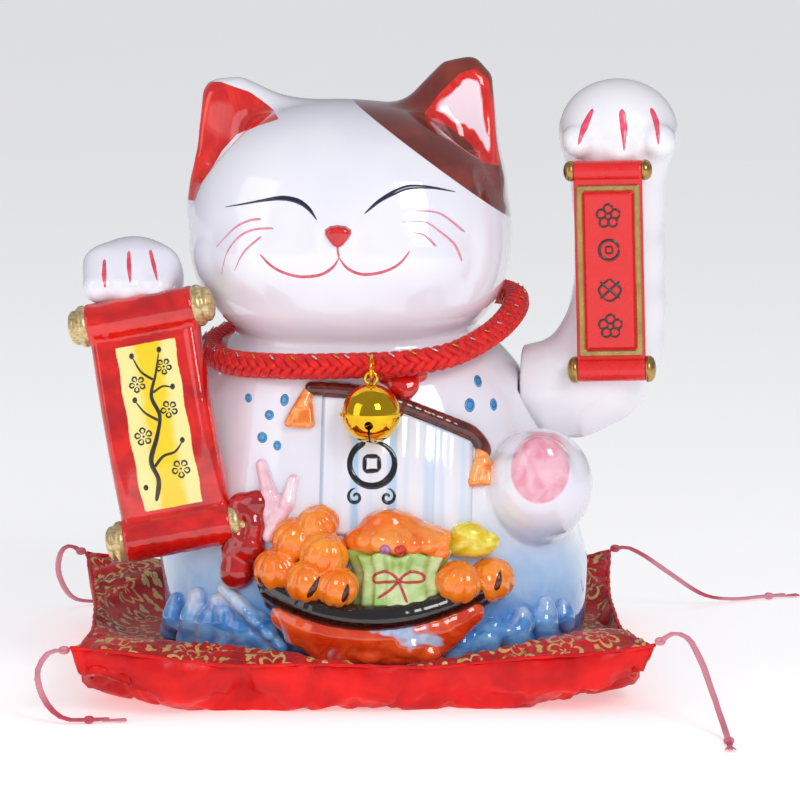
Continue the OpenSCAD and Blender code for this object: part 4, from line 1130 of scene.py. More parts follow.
# ---------- treasure-ship relief ----------
SHIP_X = (-26, 56)
ORANGES = [  # x, z, stand-off, radius
    (-24, 50, 4, 9.5), (-17, 61.4, 2.2, 9.3), (-5, 57.2, 8.7, 9.6), (-11.3, 46.6, 9, 9.1),
    (0.4, 45.4, 12, 8.6),
    (-8.2, 67.5, 2, 8.4), (46.6, 46.3, 9, 9.1), (58.7, 45.8, 4, 9.4)]
POUCH_C = np.array([23.0, -70, 47])
SPAR = [(-12, 119), (2, 118.5), (14, 116), (25, 112.5), (35, 108.5), (44, 104.5), (50, 101.5), (54, 97),
        (55, 94)]


def rail_point(share):
    x = SHIP_X[0] + (SHIP_X[1] - SHIP_X[0]) * share
    stand = 4 + 9 * math.cos(math.radians(90 * (x - 15) / 44))
    return np.array([x, front_y(x, 40.0, stand), 32 + 9.5 * ((x - 13) / 41) ** 2])


def trim_behind(clay, depth=1.2):
    """Cuts a relief piece off a little below the body's surface."""
    clay.shape(lambda field, x, y, z: np.maximum(field, -(body_shape(x, y, z) + depth)))


def add_rail():
    clay = Clay((-38, -96, 20), (68, -30, 52), 0.7)
    points = [rail_point(k / 22) for k in range(23)]
    for a, b in zip(points[:-1], points[1:]):
        clay.add(rod(a + (0, 0, 1.2), b + (0, 0, 1.2), 5.0, 5.0), 1.2)
        clay.add(rod(a + (0, 1.2, -3.6), b + (0, 1.2, -3.6), 3.4, 3.4), 0.8)
    clay.add(rod(points[-1] + (-2, 0, 1.5), points[-1] + (3.2, 2.5, 4.6), 4.6, 3.4), 2)
    clay.add(rod(points[0] + (2, 0, 1.5), points[0] + (-2.6, 2.5, 3.4), 4.8, 3.6), 2)
    trim_behind(clay)
    look = glaze("rail_glaze", "0c0708", "1b0d0d", 7, 0.06, 0.07)
    dark = look.shader.inputs["Base Color"].links[0].from_socket
    low = look.wavered(look.stored("below"), look.noise(3, 3), 3.0)
    patch = look.step(look.noise(5, 2, 0.5, 0.5, (1, 1, 0.4)), 0.45, 0.55)
    look.colour(look.mix(look.step(low, 3.0, 4.2), dark, look.mix(patch, "2a0a0a", "4a120f")))
    rail = fired("ship_side_rail", clay, "cat", look, "glaze_black", "ship_rail")
    p = points_of(rail)
    line = 32 + 9.5 * ((p[:, 0] - 13) / 41) ** 2
    paint_number(rail, "below", line - p[:, 2])


def add_hull():
    clay = Clay((-36, -92, 14), (66, -34, 40), 0.7)
    for k in range(11):
        share = 0.06 + 0.088 * k
        a = rail_point(share) + (0, 1.5, -6.5)
        b = np.array([-8 + 46 * share, front_y(14, 20.0, 8), BASE_Z + 5.0])
        clay.add(rod(a, b, 5.6, 4.6), 5)
    for x, z, r in ((-6, 21, 4.4), (28, 22, 5.0), (13, 18, 3.4), (43, 26, 4.6), (36, 19, 3.4),
                    (-16, 24, 3.6)):
        clay.add(ball(on_chest(x, z, 15.2 if 0 < x < 40 else 9), r, (1.3, 0.8, 0.8)), 2)
    trim_behind(clay)
    look = glaze("hull_glaze", "dc360a", "fa6020", 16, 0.04, 0.08)
    base = look.shader.inputs["Base Color"].links[0].from_socket
    foam = look.noise(19, 2, 0.5, 0.9, (1, 1, 1.1))
    base = look.mix(look.step(foam, 0.56, 0.63), base, look.mix(look.noise(3, 2), "dfe6f6", "86aee0"))
    dusk = look.wavered(look.axis("Z"), look.noise(8, 2), 6.0)
    look.colour(look.mix(look.step(dusk, 21, 17, 0, 0.75), base, "2c1c38"))
    fired("ship_hull_side", clay, "cat", look, "glaze_orange_red", "ship_hull")


def segmented(centre, radius, axis, ribs, depth, phase=0.0, squash=0.92):
    """A fruit: a flattened ball fluted into segments round an axis."""
    axis = np.asarray(axis, float) / np.linalg.norm(axis)
    side = np.cross(axis, (0.2, 0.9, 0.3))
    side /= np.linalg.norm(side)
    other = np.cross(axis, side)
    c = np.asarray(centre, float)

    def distance(x, y, z):
        u = (x - c[0]) * side[0] + (y - c[1]) * side[1] + (z - c[2]) * side[2]
        v = (x - c[0]) * other[0] + (y - c[1]) * other[1] + (z - c[2]) * other[2]
        w = (x - c[0]) * axis[0] + (y - c[1]) * axis[1] + (z - c[2]) * axis[2]
        round_about = np.arctan2(v, u)
        near_pole = np.clip(np.sqrt(u * u + v * v) / (0.5 * radius), 0, 1)
        flute = depth * near_pole * (np.abs(np.cos(ribs * round_about / 2 + phase)) ** 0.7 - 1)
        dimple = -1.2 * np.exp(-(u * u + v * v) / 5.0) * (w > 0)
        return np.sqrt(u * u + v * v + (w / squash) ** 2) - radius - flute - dimple

    return distance, c - radius - 1, c + radius + 1


def add_oranges():
    clay = Clay((-38, -96, 34), (72, -38, 80), 0.7)
    for i, (x, z, stand, r) in enumerate(ORANGES):
        axis = ((-0.25, 0.35, 0.3, -0.1, 0.2, -0.3, 0.25, -0.3)[i], -0.35, 1)
        clay.add(segmented(on_chest(x, z, stand), r + 0.3, axis, 9, 0.9, i * 0.7, 0.9), 0.6)
        clay.add(rod(on_chest(x, z, stand - 3), on_chest(x * 0.9 - 1, z - 1, -5), r * 0.7, r * 0.7), 1.5)
    trim_behind(clay)
    look = glaze("orange_glaze", "f5780c", "ff9a2e", 15, 0.03, 0.08)
    fruit = fired("orange_pile", clay, "cat", look, "glaze_orange", "oranges")
    brush = Brush(fruit)
    strokes = [brush.stroke(r, w, 0.2, (0.3, 0.2)) for r, w in (
        ([(-31, 47.8), (-29.4, 44.6), (-27.6, 42)], (1.2, 2.4, 2.6)),
        ([(-6, 49.8), (-7.8, 46), (-10.6, 41.5)], (1.0, 2.6, 2.2)),
        ([(5.2, 47.5), (4.6, 43.8), (3.4, 40.5)], (1.4, 2.6, 2.0)),
        ([(62.8, 50.6), (62.4, 46.5), (61.2, 43)], (1.2, 2.6, 2.0)))]
    new_piece("orange_leaf_marks", *joined(strokes), "cat", enamel("leaf_brown", "43130c", "6a2416"),
              "glaze_brown")


def add_pouch():
    """Pleated green pouch tied with a red cord, brim full."""
    clay = Clay((0, -92, 30), (48, -50, 66), 0.6)
    waist_z = POUCH_C[2] + 3

    def sack(x, y, z):
        turn = np.arctan2(y - POUCH_C[1] - 3, x - POUCH_C[0])
        up = z - POUCH_C[2]
        wide = np.interp(up, [-14, -9, -2, 3, 7, 11, 13], [15.5, 18.2, 17.6, 16.6, 18.2, 20.4, 21.0])
        fold = 0.75 * np.cos(15 * turn + 0.8 * np.sin(3 * turn)) * np.interp(up, [-14, 0, 12],
                                                                             [0.7, 1.0, 1.5])
        reach = np.sqrt(((x - POUCH_C[0])) ** 2 + ((y - POUCH_C[1] - 3) / 0.74) ** 2)
        side = (reach - wide - fold) * 0.82
        brim = 12.2 + 0.9 * np.cos(7 * turn + 1)
        return smooth_max(side, np.abs(up + 0.8) - brim, 2.2)

    clay.add((sack, np.array([0, -92, 30]), np.array([47, -50, 65])))
    trim_behind(clay)
    look = glaze("pouch_glaze", "9dc462", "cfe2a4", 12, 0.03, 0.08)
    pouch = fired("pouch_cloth", clay, "cat", look, "glaze_green", "pouch")
    brush = Brush(pouch)
    x, z = POUCH_C[0] + 1.5, waist_z - 2.0
    bow = [[(x, z), (x - 4, z + 3.6), (x - 9.2, z + 2.4), (x - 9.6, z - 0.6), (x - 4.4, z - 0.4), (x, z)],
           [(x, z), (x + 3.6, z + 3.4), (x + 8.6, z + 2.8), (x + 9.2, z), (x + 4.6, z - 0.6), (x, z)],
           [(x, z), (x - 3.4, z - 3.4), (x - 8.2, z - 6.8)], [(x, z), (x + 1.6, z - 3.8), (x + 3.2, z - 8.2)]]
    new_piece("pouch_bow", *joined([brush.stroke(r, 1.15, 0.5, (0.03, 0.15)) for r in bow] +
                                   [brush.spot((x, z), egg(1.3, 1.1, 10), 0.9, 3)]),
              "cat", enamel("bow_red", "b3202a", "cf3a3a"), "glaze_red")


def add_filling():
    clay = Clay((-2, -94, 50), (50, -44, 82), 0.6)
    c = POUCH_C + (0, 3, 15)
    clay.add(ball(c + (0, 1, -1), 12, (1.62, 1.05, 0.72)), 3)
    clay.add(ball(c + (-3, 0, 5), 9.5, (1.25, 1.0, 0.78)), 2.5)
    for k in range(9):
        a = math.radians(180 + 22.5 * k)
        clay.add(rod(c + (17.0 * math.cos(a), 11.0 * math.sin(a), 0.3 + 0.7 * math.cos(3 * a)),
                     c + (3 * math.cos(a) - 3, 2 * math.sin(a), 8.5), 4.2, 2.6), 1.6)
    for x, z, r in ((-11, 4.5, 5.2), (8.5, 4, 5.4), (-3.5, 10.5, 4.6), (15, -1.5, 4.6)):
        clay.add(ball(c + (x, -4.5, z - 2), r, (1.25, 0.9, 0.85)), 1.6)
    trim_behind(clay)
    look = glaze("filling_glaze", "f26f12", "ff9c42", 15, 0.04, 0.08)
    heap = fired("pouch_heap", clay, "cat", look, "glaze_orange", "pouch_filling")
    brush = Brush(heap)
    for name, dx, deep, pale in (("pouch_bead_violet", -3.6, "a4559c", "c98ac2"),
                                 ("pouch_bead_red", 2.2, "c81f18", "e8402e")):
        bead = brush.spot((POUCH_C[0] + dx, POUCH_C[2] + 13.4), egg(2.3, 2.1, 14), 1.8, 5)
        new_piece(name, *bead, "cat", enamel(name + "_paint", deep, pale, 0.1), "glaze_red")


def add_ingot():
    clay = Clay((36, -82, 48), (66, -46, 76), 0.6)
    c = on_chest(50.5, 61.0, 3)
    clay.add(ball(c + (0, 0, -1), 8, (1.3, 0.75, 0.72)), 1)
    clay.add(ball(c + (-0.5, -1, 2.6), 6.6, (1.1, 0.85, 0.8)), 2.2)
    clay.add(ball(c + (-8.6, 0, -3), 3.4, (1, 1, 0.8)), 3)
    clay.add(ball(c + (8.4, 0, 0.4), 3.0, (1, 1, 0.9)), 3)
    trim_behind(clay)
    fired("ingot_gold", clay, "cat", glaze("ingot_glaze", "e0c208", "f8ee6a", 6, 0.05, 0.08), "glaze_yellow",
          "gold_ingot")


def add_corals(scroll_keep):
    clay = Clay((-54, -74, 38), (-22, -42, 84), 0.6)
    lobes = [(-33, 74.5, 5.4), (-38.5, 72.5, 6.2), (-35.5, 66, 6.8), (-41, 62.5, 6.6), (-36, 57.5, 6.6),
             (-41, 54.5, 6.4), (-40.5, 47.5, 7.2)]
    for x, z, r in lobes:
        clay.add(ball(on_chest(x, z, 2.4), r, (1, 0.85, 1)), 2.2)
    clay.cut(ball(on_chest(-38, 66, 8.2), 2.4, (1.2, 1, 1.8)), 2.0)
    trim_behind(clay)
    clay.shape(scroll_keep)
    fired("coral_red", clay, "cat", glaze("coral_glaze", "98050a", "c80f10", 14, 0.04, 0.06), "glaze_coral",
          "red_coral")
    clay = Clay((-42, -72, 60), (-12, -44, 96), 0.55)
    for tip, root, fat in (((-31.5, 89), (-27.5, 68), 3.1), ((-18.6, 84), (-25.5, 66), 2.9),
                           ((-25, 76.5), (-28, 62), 2.9)):
        mid = ((tip[0] + root[0]) / 2 + 1.2, (tip[1] + root[1]) / 2)
        clay.add(rod(on_chest(*tip, 0.6), on_chest(*mid, 1.6), fat * 0.75, fat), 1.2)
        clay.add(rod(on_chest(*mid, 1.6), on_chest(*root, 1), fat, fat * 0.9), 1.2)
    trim_behind(clay)
    clay.shape(scroll_keep)
    look = glaze("pink_coral_glaze", "f0bccb", "faeaf1", 14, 0.03, 0.08)
    fired("coral_pink", clay, "cat", look, "glaze_pink", "pink_coral")


def add_waves(scroll_keep):
    """Curling ridges of water with foam-white crests."""
    clay = Clay((-86, -84, 13.5), (100, -8, 58), 0.9)
    ridges = [  # foot x z, crest x z, radius, curl to the side
        (-71, 18, -68, 31, 5.2, -3), (-62, 17, -58, 35, 5.8, -2), (-53, 17, -49, 34, 6.0, 2),
        (-45, 17, -42, 35, 5.6, 3), (-35, 16, -38, 33, 5.2, 4), (-27, 16, -31, 29, 4.8, 5),
        (44, 17, 49, 24, 5.0, -3), (56, 17, 60, 27, 5.6, 3), (68, 18, 70, 30, 6.0, 3),
        (79, 20, 79, 33, 5.4, 2),
        (86, 24, 85, 31, 4.2, 1)]
    for x0, z0, x1, z1, r, curl in ridges:
        mid = ((x0 + x1) / 2 - curl * 0.35, (z0 + z1) / 2)
        clay.add(rod(on_chest(x0, z0, 0.5), on_chest(*mid, 0.8), r, r * 0.92), 3.6)
        clay.add(rod(on_chest(*mid, 0.8), on_chest(x1, z1, 0.2), r * 0.92, r * 0.6), 3.6)
        clay.add(rod(on_chest(x1, z1, 0.6), on_chest(x1 + curl, z1 - 3.2, 3.0), r * 0.6, r * 0.45), 1.4)
    for k in range(4):
        x, z = -40 + 5.2 * k, 36 - 4.6 * k
        clay.add(rod(on_chest(x - 6, z + 4, 1.5), on_chest(x + 2.5, z - 3, 6.5), 3.1, 2.3), 1.2)
    trim_behind(clay)
    clay.shape(lambda field, x, y, z: np.maximum(scroll_keep(field, x, y, z), BASE_Z + 0.3 - z))
    look = glaze("wave_glaze", "3489dc", "86c2f6", 14, 0.04, 0.07)
    blue = look.shader.inputs["Base Color"].links[0].from_socket
    crest = look.wavered(look.stored("height"), look.noise(7, 3, 0.6, 0.8), 22.0)
    blue = look.mix(look.step(crest, 24, 17, 0, 0.85), blue, "154f9c")
    look.colour(look.mix(look.step(crest, 38, 54, 0, 0.9), blue, "edf1fb"))
    waves = fired("wave_ridges", clay, "cat", look, "glaze_blue", "waves")
    paint_number(waves, "height", points_of(waves)[:, 2])


def clear_of_scroll():
    """A field change that keeps relief out of the big scroll's space."""
    space = in_frame(scroll_sheet, SCROLL_C, *SCROLL_LEAN, SCROLL_REACH)[0]
    return lambda field, x, y, z: np.maximum(field, 0.15 - space(x, y, z))


def add_sail():
    """Sail with broad upright pleats, with pale blue painted shade in their hollows."""
    columns, rows, thick = 118, 40, 1.4
    xs = np.linspace(-8, 51, columns)
    pleat = 0.9 * np.abs(np.sin((xs + 8) * math.pi / 14.75)) ** 0.6 + 0.25 * np.sin(xs * 0.9)
    front, back = [], []
    for j in range(rows):
        share = j / (rows - 1)
        for i, x in enumerate(xs):
            top = np.interp(x, [p[0] for p in SPAR], [p[1] for p in SPAR]) - 3.0
            z = 64 + (top - 64) * share
            edge = min(1.0, min(i, columns - 1 - i) / 3)
            belly = 0.9 * math.sin(math.pi * share) * math.sin(math.pi * (x + 8) / 59)
            front.append(on_chest(x, z, 0.3 + thick * edge + (pleat[i] + belly) * edge * (0.7 + 0.3 * share)))
            back.append(on_chest(x, z, -0.6))
    w, n = columns, columns * rows
    faces = []
    for j in range(rows - 1):
        for i in range(columns - 1):
            a = j * w + i
            faces.append((a, a + 1, a + w + 1, a + w))
            faces.append((n + a, n + a + w, n + a + w + 1, n + a + 1))
    rim = list(range(w)) + [j * w + w - 1 for j in range(1, rows)] + \
        [(rows - 1) * w + i for i in range(w - 2, -1, -1)] + [j * w for j in range(rows - 2, 0, -1)]
    faces += [(b, a, a + n, b + n) for a, b in zip(rim, rim[1:] + rim[:1])]
    look = porcelain("sail_glaze")
    folds = look.stored("pleat")
    # Pale blue painted shade laid in the hollows of the pleats, where the stored pleat height is low.
    pleat_shade_tone = look.mix(look.step(folds, 0.75, 0.1, 0, 0.9), look.tone, "a9cdee")
    look.colour(look.mix(look.step(look.noise(16, 3), 0.5, 0.75, 0, 0.35), pleat_shade_tone, "cfe0f4"))
    sail = new_piece("sail_cloth", np.array(front + back), faces, "cat", look, "glaze_sail")
    paint_number(sail, "pleat", np.concatenate([np.tile(pleat, rows), np.tile(pleat, rows)]))
    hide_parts("sail")
    return sail


def add_spar():
    """Brown spar along the sail's upper edge."""
    clay = Clay((-20, -74, 84), (62, -30, 128), 0.6)
    route = curve_through([on_chest(x, z, 1.2) for x, z in SPAR], 3)
    for i, (a, b) in enumerate(zip(route[:-1], route[1:])):
        fat = 2.9 + 0.12 * math.sin(i * 0.5)
        clay.add(rod(a, b, fat, fat), 0.8)
    trim_behind(clay)
    fired("spar_wood", clay, "cat", glaze("spar_glaze", "4c120b", "7a2415", 7, 0.06, 0.07), "glaze_brown",
          "spar")


def add_sail_tassels():
    """A tassel of five strands below a collar, at each end of the spar."""
    clay = Clay((-24, -72, 80), (64, -34, 122), 0.5)
    for x, z, lean in ((-13.6, 117, -1.6), (54, 94.5, 0.6)):
        clay.add(rod(on_chest(x, z, 1), on_chest(x + lean, z - 4, 1.6), 2.5, 3.3), 0.8)
        for k in range(-2, 3):
            clay.add(rod(on_chest(x + lean + k * 0.9, z - 4.5, 1.2),
                         on_chest(x + lean * 1.8 + k * 2.0, z - 11.2, 2.0),
                         2.0, 2.1), 0.45)
        clay.add(ball(on_chest(x + lean, z - 4.4, 1.8), 3.6, (1.1, 0.9, 0.32)), 0.3)
    trim_behind(clay)
    look = glaze("tassel_glaze", "ee7a1e", "ffb066", 9, 0.03, 0.1)
    fired("sail_tassel_pair", clay, "cat", look, "glaze_orange", "sail_tassels")


def add_pennant():
    """Soft red bow above the spar."""
    clay = Clay((8, -72, 110), (40, -44, 132), 0.5)
    for x, z, r in ((17, 123.5, 3.4), (21.5, 123.6, 3.6), (26, 123.6, 3.6), (29.5, 124, 3.0),
                    (21.5, 119.8, 3.4),
                    (26, 119.6, 3.4), (24.4, 117.4, 2.8)):
        clay.add(ball(on_chest(x, z, 1.0), r, (1.1, 0.7, 1)), 2.2)
    trim_behind(clay)
    fired("pennant_red", clay, "cat", glaze("pennant_glaze", "c80d12", "e2201a", 12, 0.03, 0.06),
          "glaze_red", "pennant")


def add_sail_emblem(sail):
    """A brushed pierced coin over two small spirals, in place of lettering."""
    brush = Brush(sail)
    cx, cz, r = 12.5, 91, 8.4
    ring = [(cx + r * 1.04 * math.cos(a), cz + r * math.sin(a)) for a in np.linspace(1.9, 8.0, 15)]
    side = 2.9
    square = [(cx - side, cz - side), (cx + side, cz - side + 0.5), (cx + side - 0.3, cz + side),
              (cx - side, cz + side)]
    routes = [ring] + [[square[i], square[(i + 1) % 4]] for i in range(4)]
    widths = [(2.9, 2.2, 2.6, 3.0, 2.0, 1.2)] + [(1.6, 1.9, 1.3)] * 4
    for side in (-1, 1):
        curl = [(cx + side * (6.2 + (0.5 + 0.36 * a) * math.cos(a)),
                 cz - 12.6 + (0.5 + 0.36 * a) * math.sin(a))
                for a in np.linspace(0, 1.5 * math.pi + 3.1, 16)]
        routes.append(curl)
        widths.append((0.9, 1.2, 1.6, 0.9))
    made = [brush.stroke(route, width, 0.22, (0.06, 0.1)) for route, width in zip(routes, widths)]
    new_piece("sail_emblem", *joined(made), "cat", enamel("emblem_black", "08080c", "16161c", 0.1),
              "glaze_black")


# ---------- braided collar ----------
COLLAR = [
    (2, -55.5, 128.5), (24, -54, 129.5), (43, -46, 132.5), (58, -26, 139.5), (64.5, -1, 147), (59, 24, 149),
    (40, 41, 148), (5, 47, 145), (-30, 41, 139), (-52, 21, 132), (-57.5, -5, 129), (-47, -34, 127),
    (-25, -51, 127.5)]
BRAID_PITCH = 4.2
BRAID_COLUMNS = 6


def bead(length, width, height, around=8, along=7):
    """(points, faces) of a plump stitch lying along X, with its belly to +Z."""
    path = [(length / 2 * math.cos(a), 0, 0) for a in np.linspace(math.pi, 0, along)]
    swell = [max(0.12, math.sin(a) ** 0.75) for a in np.linspace(math.pi, 0, along)]
    angles = 2 * math.pi * np.arange(around) / around
    section = np.stack([width / 2 * np.cos(angles), height / 2 * np.sin(angles)], 1)
    return tube(path, swell, section=section, start=(0, 0, 1))


def collar_frame():
    """Points of the braid's middle line with the directions along, outward and up at each."""
    line = resampled(curve_through(COLLAR, 10, closed=True), BRAID_PITCH, closed=True)
    along = np.roll(line, -1, 0) - np.roll(line, 1, 0)
    along /= np.linalg.norm(along, axis=1)[:, None]
    up = UP - along * along[:, 2:]
    up /= np.linalg.norm(up, axis=1)[:, None]
    out = np.cross(along, up)
    if np.sum(out[0] * (line[0] - line.mean(0))) < 0:
        out = -out
    return line, along, out, up


def add_collar():
    line, along, out, up = collar_frame()
    stitch = bead(7.6, 3.5, 4.0)
    glint = bead(3.0, 0.85, 0.7, 6, 5)
    stitches, golds, silvers = [], [], []
    for i in range(len(line)):
        for column in range(BRAID_COLUMNS):
            turn = 2 * math.pi * (column + 0.5) / BRAID_COLUMNS + 0.06 * math.sin(i * 0.37)
            away = math.cos(turn) * out[i] + math.sin(turn) * up[i]
            side = -math.sin(turn) * out[i] + math.cos(turn) * up[i]
            slant = math.radians(37 if column % 2 else -37)
            ahead = math.cos(slant) * along[i] + math.sin(slant) * side
            across = np.cross(away, ahead)
            shift = 0.5 * BRAID_PITCH * (column % 2)
            middle = line[i] + away * 3.2 + along[i] * shift
            stitches.append((middle + stitch[0] @ np.array([ahead, across, away]), stitch[1]))
            if column in (0, 2) and (i + column) % 2 == 0:
                place = line[i] + away * 4.75 + side * 1.9 + along[i] * 0.8
                (golds if (i // 2) % 2 else silvers).append((place + glint[0] @ np.array([ahead, across,
                                                                                          away]), glint[1]))
    # A dark red tube under the stitches: painted shade that shows in the gaps between them.
    gap_shade_tube = tube(line, 3.4, 10, closed=True)
    look = Look("braid_cord", Sheen_Weight=0.12, Sheen_Roughness=0.4)
    strands = look.noise(0.55, 2, 0.5, 0.0, (1, 1, 1))
    look.colour(look.mix(look.step(look.noise(3.4, 2), 0.3, 0.7), "c4090d", "e8170f"))
    look.roughness(look.step(strands, 0.3, 0.7, 0.42, 0.62))
    look.bump(strands, 0.10)
    rope = new_piece("collar_braid", *joined(stitches), "cat", look, "rope_braid")
    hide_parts("collar_rope")
    new_piece("collar_gap_shade", *gap_shade_tube, "cat", plain_cloth("braid_gap_shade", "5e070b", "7e0d12"), "rope_braid")
    new_piece("collar_gold_thread", *joined(golds), "cat", metal("lurex_gold", "e8b84a", 0.3), "rope_braid")
    new_piece("collar_silver_thread", *joined(silvers), "cat", metal("lurex_silver", "f0eef2", 0.3),
              "rope_braid")


# ---------- cushion ----------
HALF_W = 111.0
CUSHION_TURN = 7.0
SEAM_Z, CORNER_Z, SEAT_Z = 19.0, 28.0, 13.0
PANEL_CELLS = 66
CLOTH_THICK = 0.7


def cushion_plan(u, v):
    x = HALF_W * u * (1 - 0.055 * (1 - v * v))
    y = HALF_W * v * (1 - 0.055 * (1 - u * u))
    a = math.radians(CUSHION_TURN)
    return x * math.cos(a) - y * math.sin(a), x * math.sin(a) + y * math.cos(a)


def cushion_dome(u, v, power):
    return np.maximum(0, (1 - np.abs(u) ** 5) * (1 - np.abs(v) ** 5)) ** power


def cushion_grids():
    """Top and bottom panel points before the filling swells them, and how free each is of the cat's seat."""
    t = np.linspace(-1, 1, PANEL_CELLS + 1)
    u, v = np.meshgrid(t * (1.15 - 0.15 * t * t), t * (1.15 - 0.15 * t * t), indexing="ij")
    x, y = cushion_plan(u, v)
    seam = SEAM_Z + (CORNER_Z - SEAM_Z) * np.abs(u * v) ** 2.2
    seam = seam + 0.7 * np.sin(9.1 * (u - v)) * np.maximum(np.abs(u), np.abs(v)) ** 12
    reach = np.sqrt(((x - 8) / 101) ** 2 + ((y - 2) / 92) ** 2)
    free = np.clip((reach - 1) / 0.14, 0, 1)
    top = SEAT_Z + (seam + 6 * cushion_dome(u, v, 0.5) - SEAT_Z) * free ** 1.4
    low = seam * np.maximum(0, 1 - 1.12 * cushion_dome(u, v, 0.28))
    rim = np.maximum(np.abs(u), np.abs(v)) > 0.9999
    low[rim] = seam[rim]
    top[rim] = seam[rim]
    return u, v, np.stack([x, y, top], -1), np.stack([x, y, low], -1), free, rim


CLOTH_PRESSURE = 1.4
CLOTH_GROWTH = 0.05            # share by which the sewn cloth is larger than its frame
CLOTH_FRAMES = 18
CLOTH_LIMIT = 9.0              # furthest that the filling may push a point
PAD_IN_TOP = 2.4               # wadding inside the brocade
PAD_IN_LOW = 2.6               # wadding inside the satin


def cloth_swell(points, faces, held):
    """Where the points go when the sewn cover is filled: cloth simulation with the held points kept."""
    mesh = bpy.data.meshes.new("cloth_trial")
    mesh.from_pydata((points * MM).tolist(), [], faces)
    mesh.update()
    trial = bpy.data.objects.new("cloth_trial", mesh)
    bpy.context.scene.collection.objects.link(trial)
    trial.vertex_groups.new(name="held").add([int(i) for i in np.flatnonzero(held)], 1.0, "REPLACE")
    cloth = trial.modifiers.new("cloth", "CLOTH")
    settings = cloth.settings
    settings.quality = 6
    settings.mass = 0.15
    settings.tension_stiffness = settings.compression_stiffness = 20
    settings.shear_stiffness = 8
    settings.bending_stiffness = 0.4
    settings.shrink_min = -CLOTH_GROWTH
    settings.use_pressure = True
    settings.uniform_pressure_force = CLOTH_PRESSURE
    settings.effector_weights.gravity = 0
    settings.vertex_group_mass = "held"
    cloth.point_cache.frame_start = 1
    cloth.point_cache.frame_end = CLOTH_FRAMES + 2
    for number in range(1, CLOTH_FRAMES + 1):
        bpy.context.scene.frame_set(number)
    seen = trial.evaluated_get(bpy.context.evaluated_depsgraph_get())
    moved = np.zeros(len(points) * 3)
    seen.data.vertices.foreach_get("co", moved)
    bpy.data.objects.remove(trial)
    bpy.context.scene.frame_set(1)
    return moved.reshape(-1, 3) / MM


def refined(grid):
    """Twice as many cells each way, on a smooth curve through the old points."""
    for axis in (0, 1):
        g = np.moveaxis(grid, axis, 0)
        wide = np.concatenate([2 * g[:1] - g[1:2], g, 2 * g[-1:] - g[-2:-1]])
        fine = np.empty((2 * len(g) - 1,) + g.shape[1:])
        fine[::2] = g
        fine[1::2] = (9 * (wide[1:-2] + wide[2:-1]) - wide[:-3] - wide[3:]) / 16
        grid = np.moveaxis(fine, 0, axis)
    return grid


def grid_normals(grid):
    du, dv = np.gradient(grid, axis=0), np.gradient(grid, axis=1)
    normal = np.cross(du, dv)
    return normal / np.maximum(np.linalg.norm(normal, axis=-1), 1e-6)[..., None]


def grid_faces(rows, columns, first=0, flip=False):
    faces = []
    for i in range(rows - 1):
        for j in range(columns - 1):
            a = first + i * columns + j
            face = (a, a + columns, a + columns + 1, a + 1)
            faces.append(face[::-1] if flip else face)
    return faces


def grid_rim(rows, columns):
    """Point numbers round the edge of a grid, counter-clockwise from the first corner."""
    return ([i * columns for i in range(rows)] + [(rows - 1) * columns + j for j in range(1, columns)]
            + [i * columns + columns - 1 for i in range(rows - 2, -1, -1)] + list(range(columns - 2, 0, -1)))


def panel(name, outer, inner, up, look, slot):
    """A cloth panel with thickness between two grids."""
    n = outer.shape[0]
    faces = grid_faces(n, n, 0, not up) + grid_faces(n, n, n * n, up)
    rim = grid_rim(n, n)
    for a, b in zip(rim, rim[1:] + rim[:1]):
        face = (a, b, b + n * n, a + n * n)
        faces.append(face[::-1] if up else face)
    return new_piece(name, np.concatenate([outer.reshape(-1, 3), inner.reshape(-1, 3)]), faces, "cushion",
                     look, slot)


def satin_look():
    look = Look("red_satin", Sheen_Weight=0.05, Sheen_Roughness=0.35, Specular_IOR_Level=0.32)
    look.set(look.shader.inputs["Sheen Tint"], "ff8a80")
    tone = look.step(look.noise(26, 3, 0.55, 0.5), 0.35, 0.65)
    look.colour(look.mix(tone, "c0060b", "e8120f"))
    threads = look.noise(0.5, 1, 0.5, 0, (0.25, 0.25, 1))
    look.roughness(look.step(threads, 0.3, 0.7, 0.33, 0.46))
    look.bump(look.noise(13, 2, 0.5, 0.8, (1, 1, 0.35)), 0.9)
    look.bump(threads, 0.03)
    return look


def flower_field(look, size, petals, across, away):
    """How far inside a scattered woven flower a point is, from its nearest flower centre."""
    at = look.tree.nodes.new("ShaderNodeCombineXYZ")
    look.set(at.inputs["X"], look.math("ADD", look.stored("across"), across))
    look.set(at.inputs["Y"], look.math("ADD", look.stored("along"), away))
    cell = look.tree.nodes.new("ShaderNodeTexVoronoi")
    cell.voronoi_dimensions = "2D"
    cell.inputs["Scale"].default_value = 1 / size
    cell.inputs["Randomness"].default_value = 0.7
    look.tree.links.new(at.outputs[0], cell.inputs["Vector"])
    gap = look.tree.nodes.new("ShaderNodeVectorMath")
    gap.operation = "SUBTRACT"
    look.tree.links.new(at.outputs[0], gap.inputs[0])
    look.tree.links.new(cell.outputs["Position"], gap.inputs[1])
    split = look.tree.nodes.new("ShaderNodeSeparateXYZ")
    look.tree.links.new(gap.outputs[0], split.inputs[0])
    angle = look.math("ARCTAN2", split.outputs["Y"], split.outputs["X"])
    wave = look.math("ABSOLUTE", look.math("COSINE", look.math("MULTIPLY", angle, petals / 2)))
    edge = look.math("ADD", look.math("MULTIPLY", wave, 0.42), 0.5)
    size_out = look.math("SQRT",
                         look.math("ADD", look.math("POWER", look.math("ABSOLUTE", split.outputs["X"]), 2.0),
                                           look.math("POWER", look.math("ABSOLUTE", split.outputs["Y"]),
                                                     2.0)))
    return look.math("SUBTRACT", edge, look.math("DIVIDE", size_out, size * 0.42))


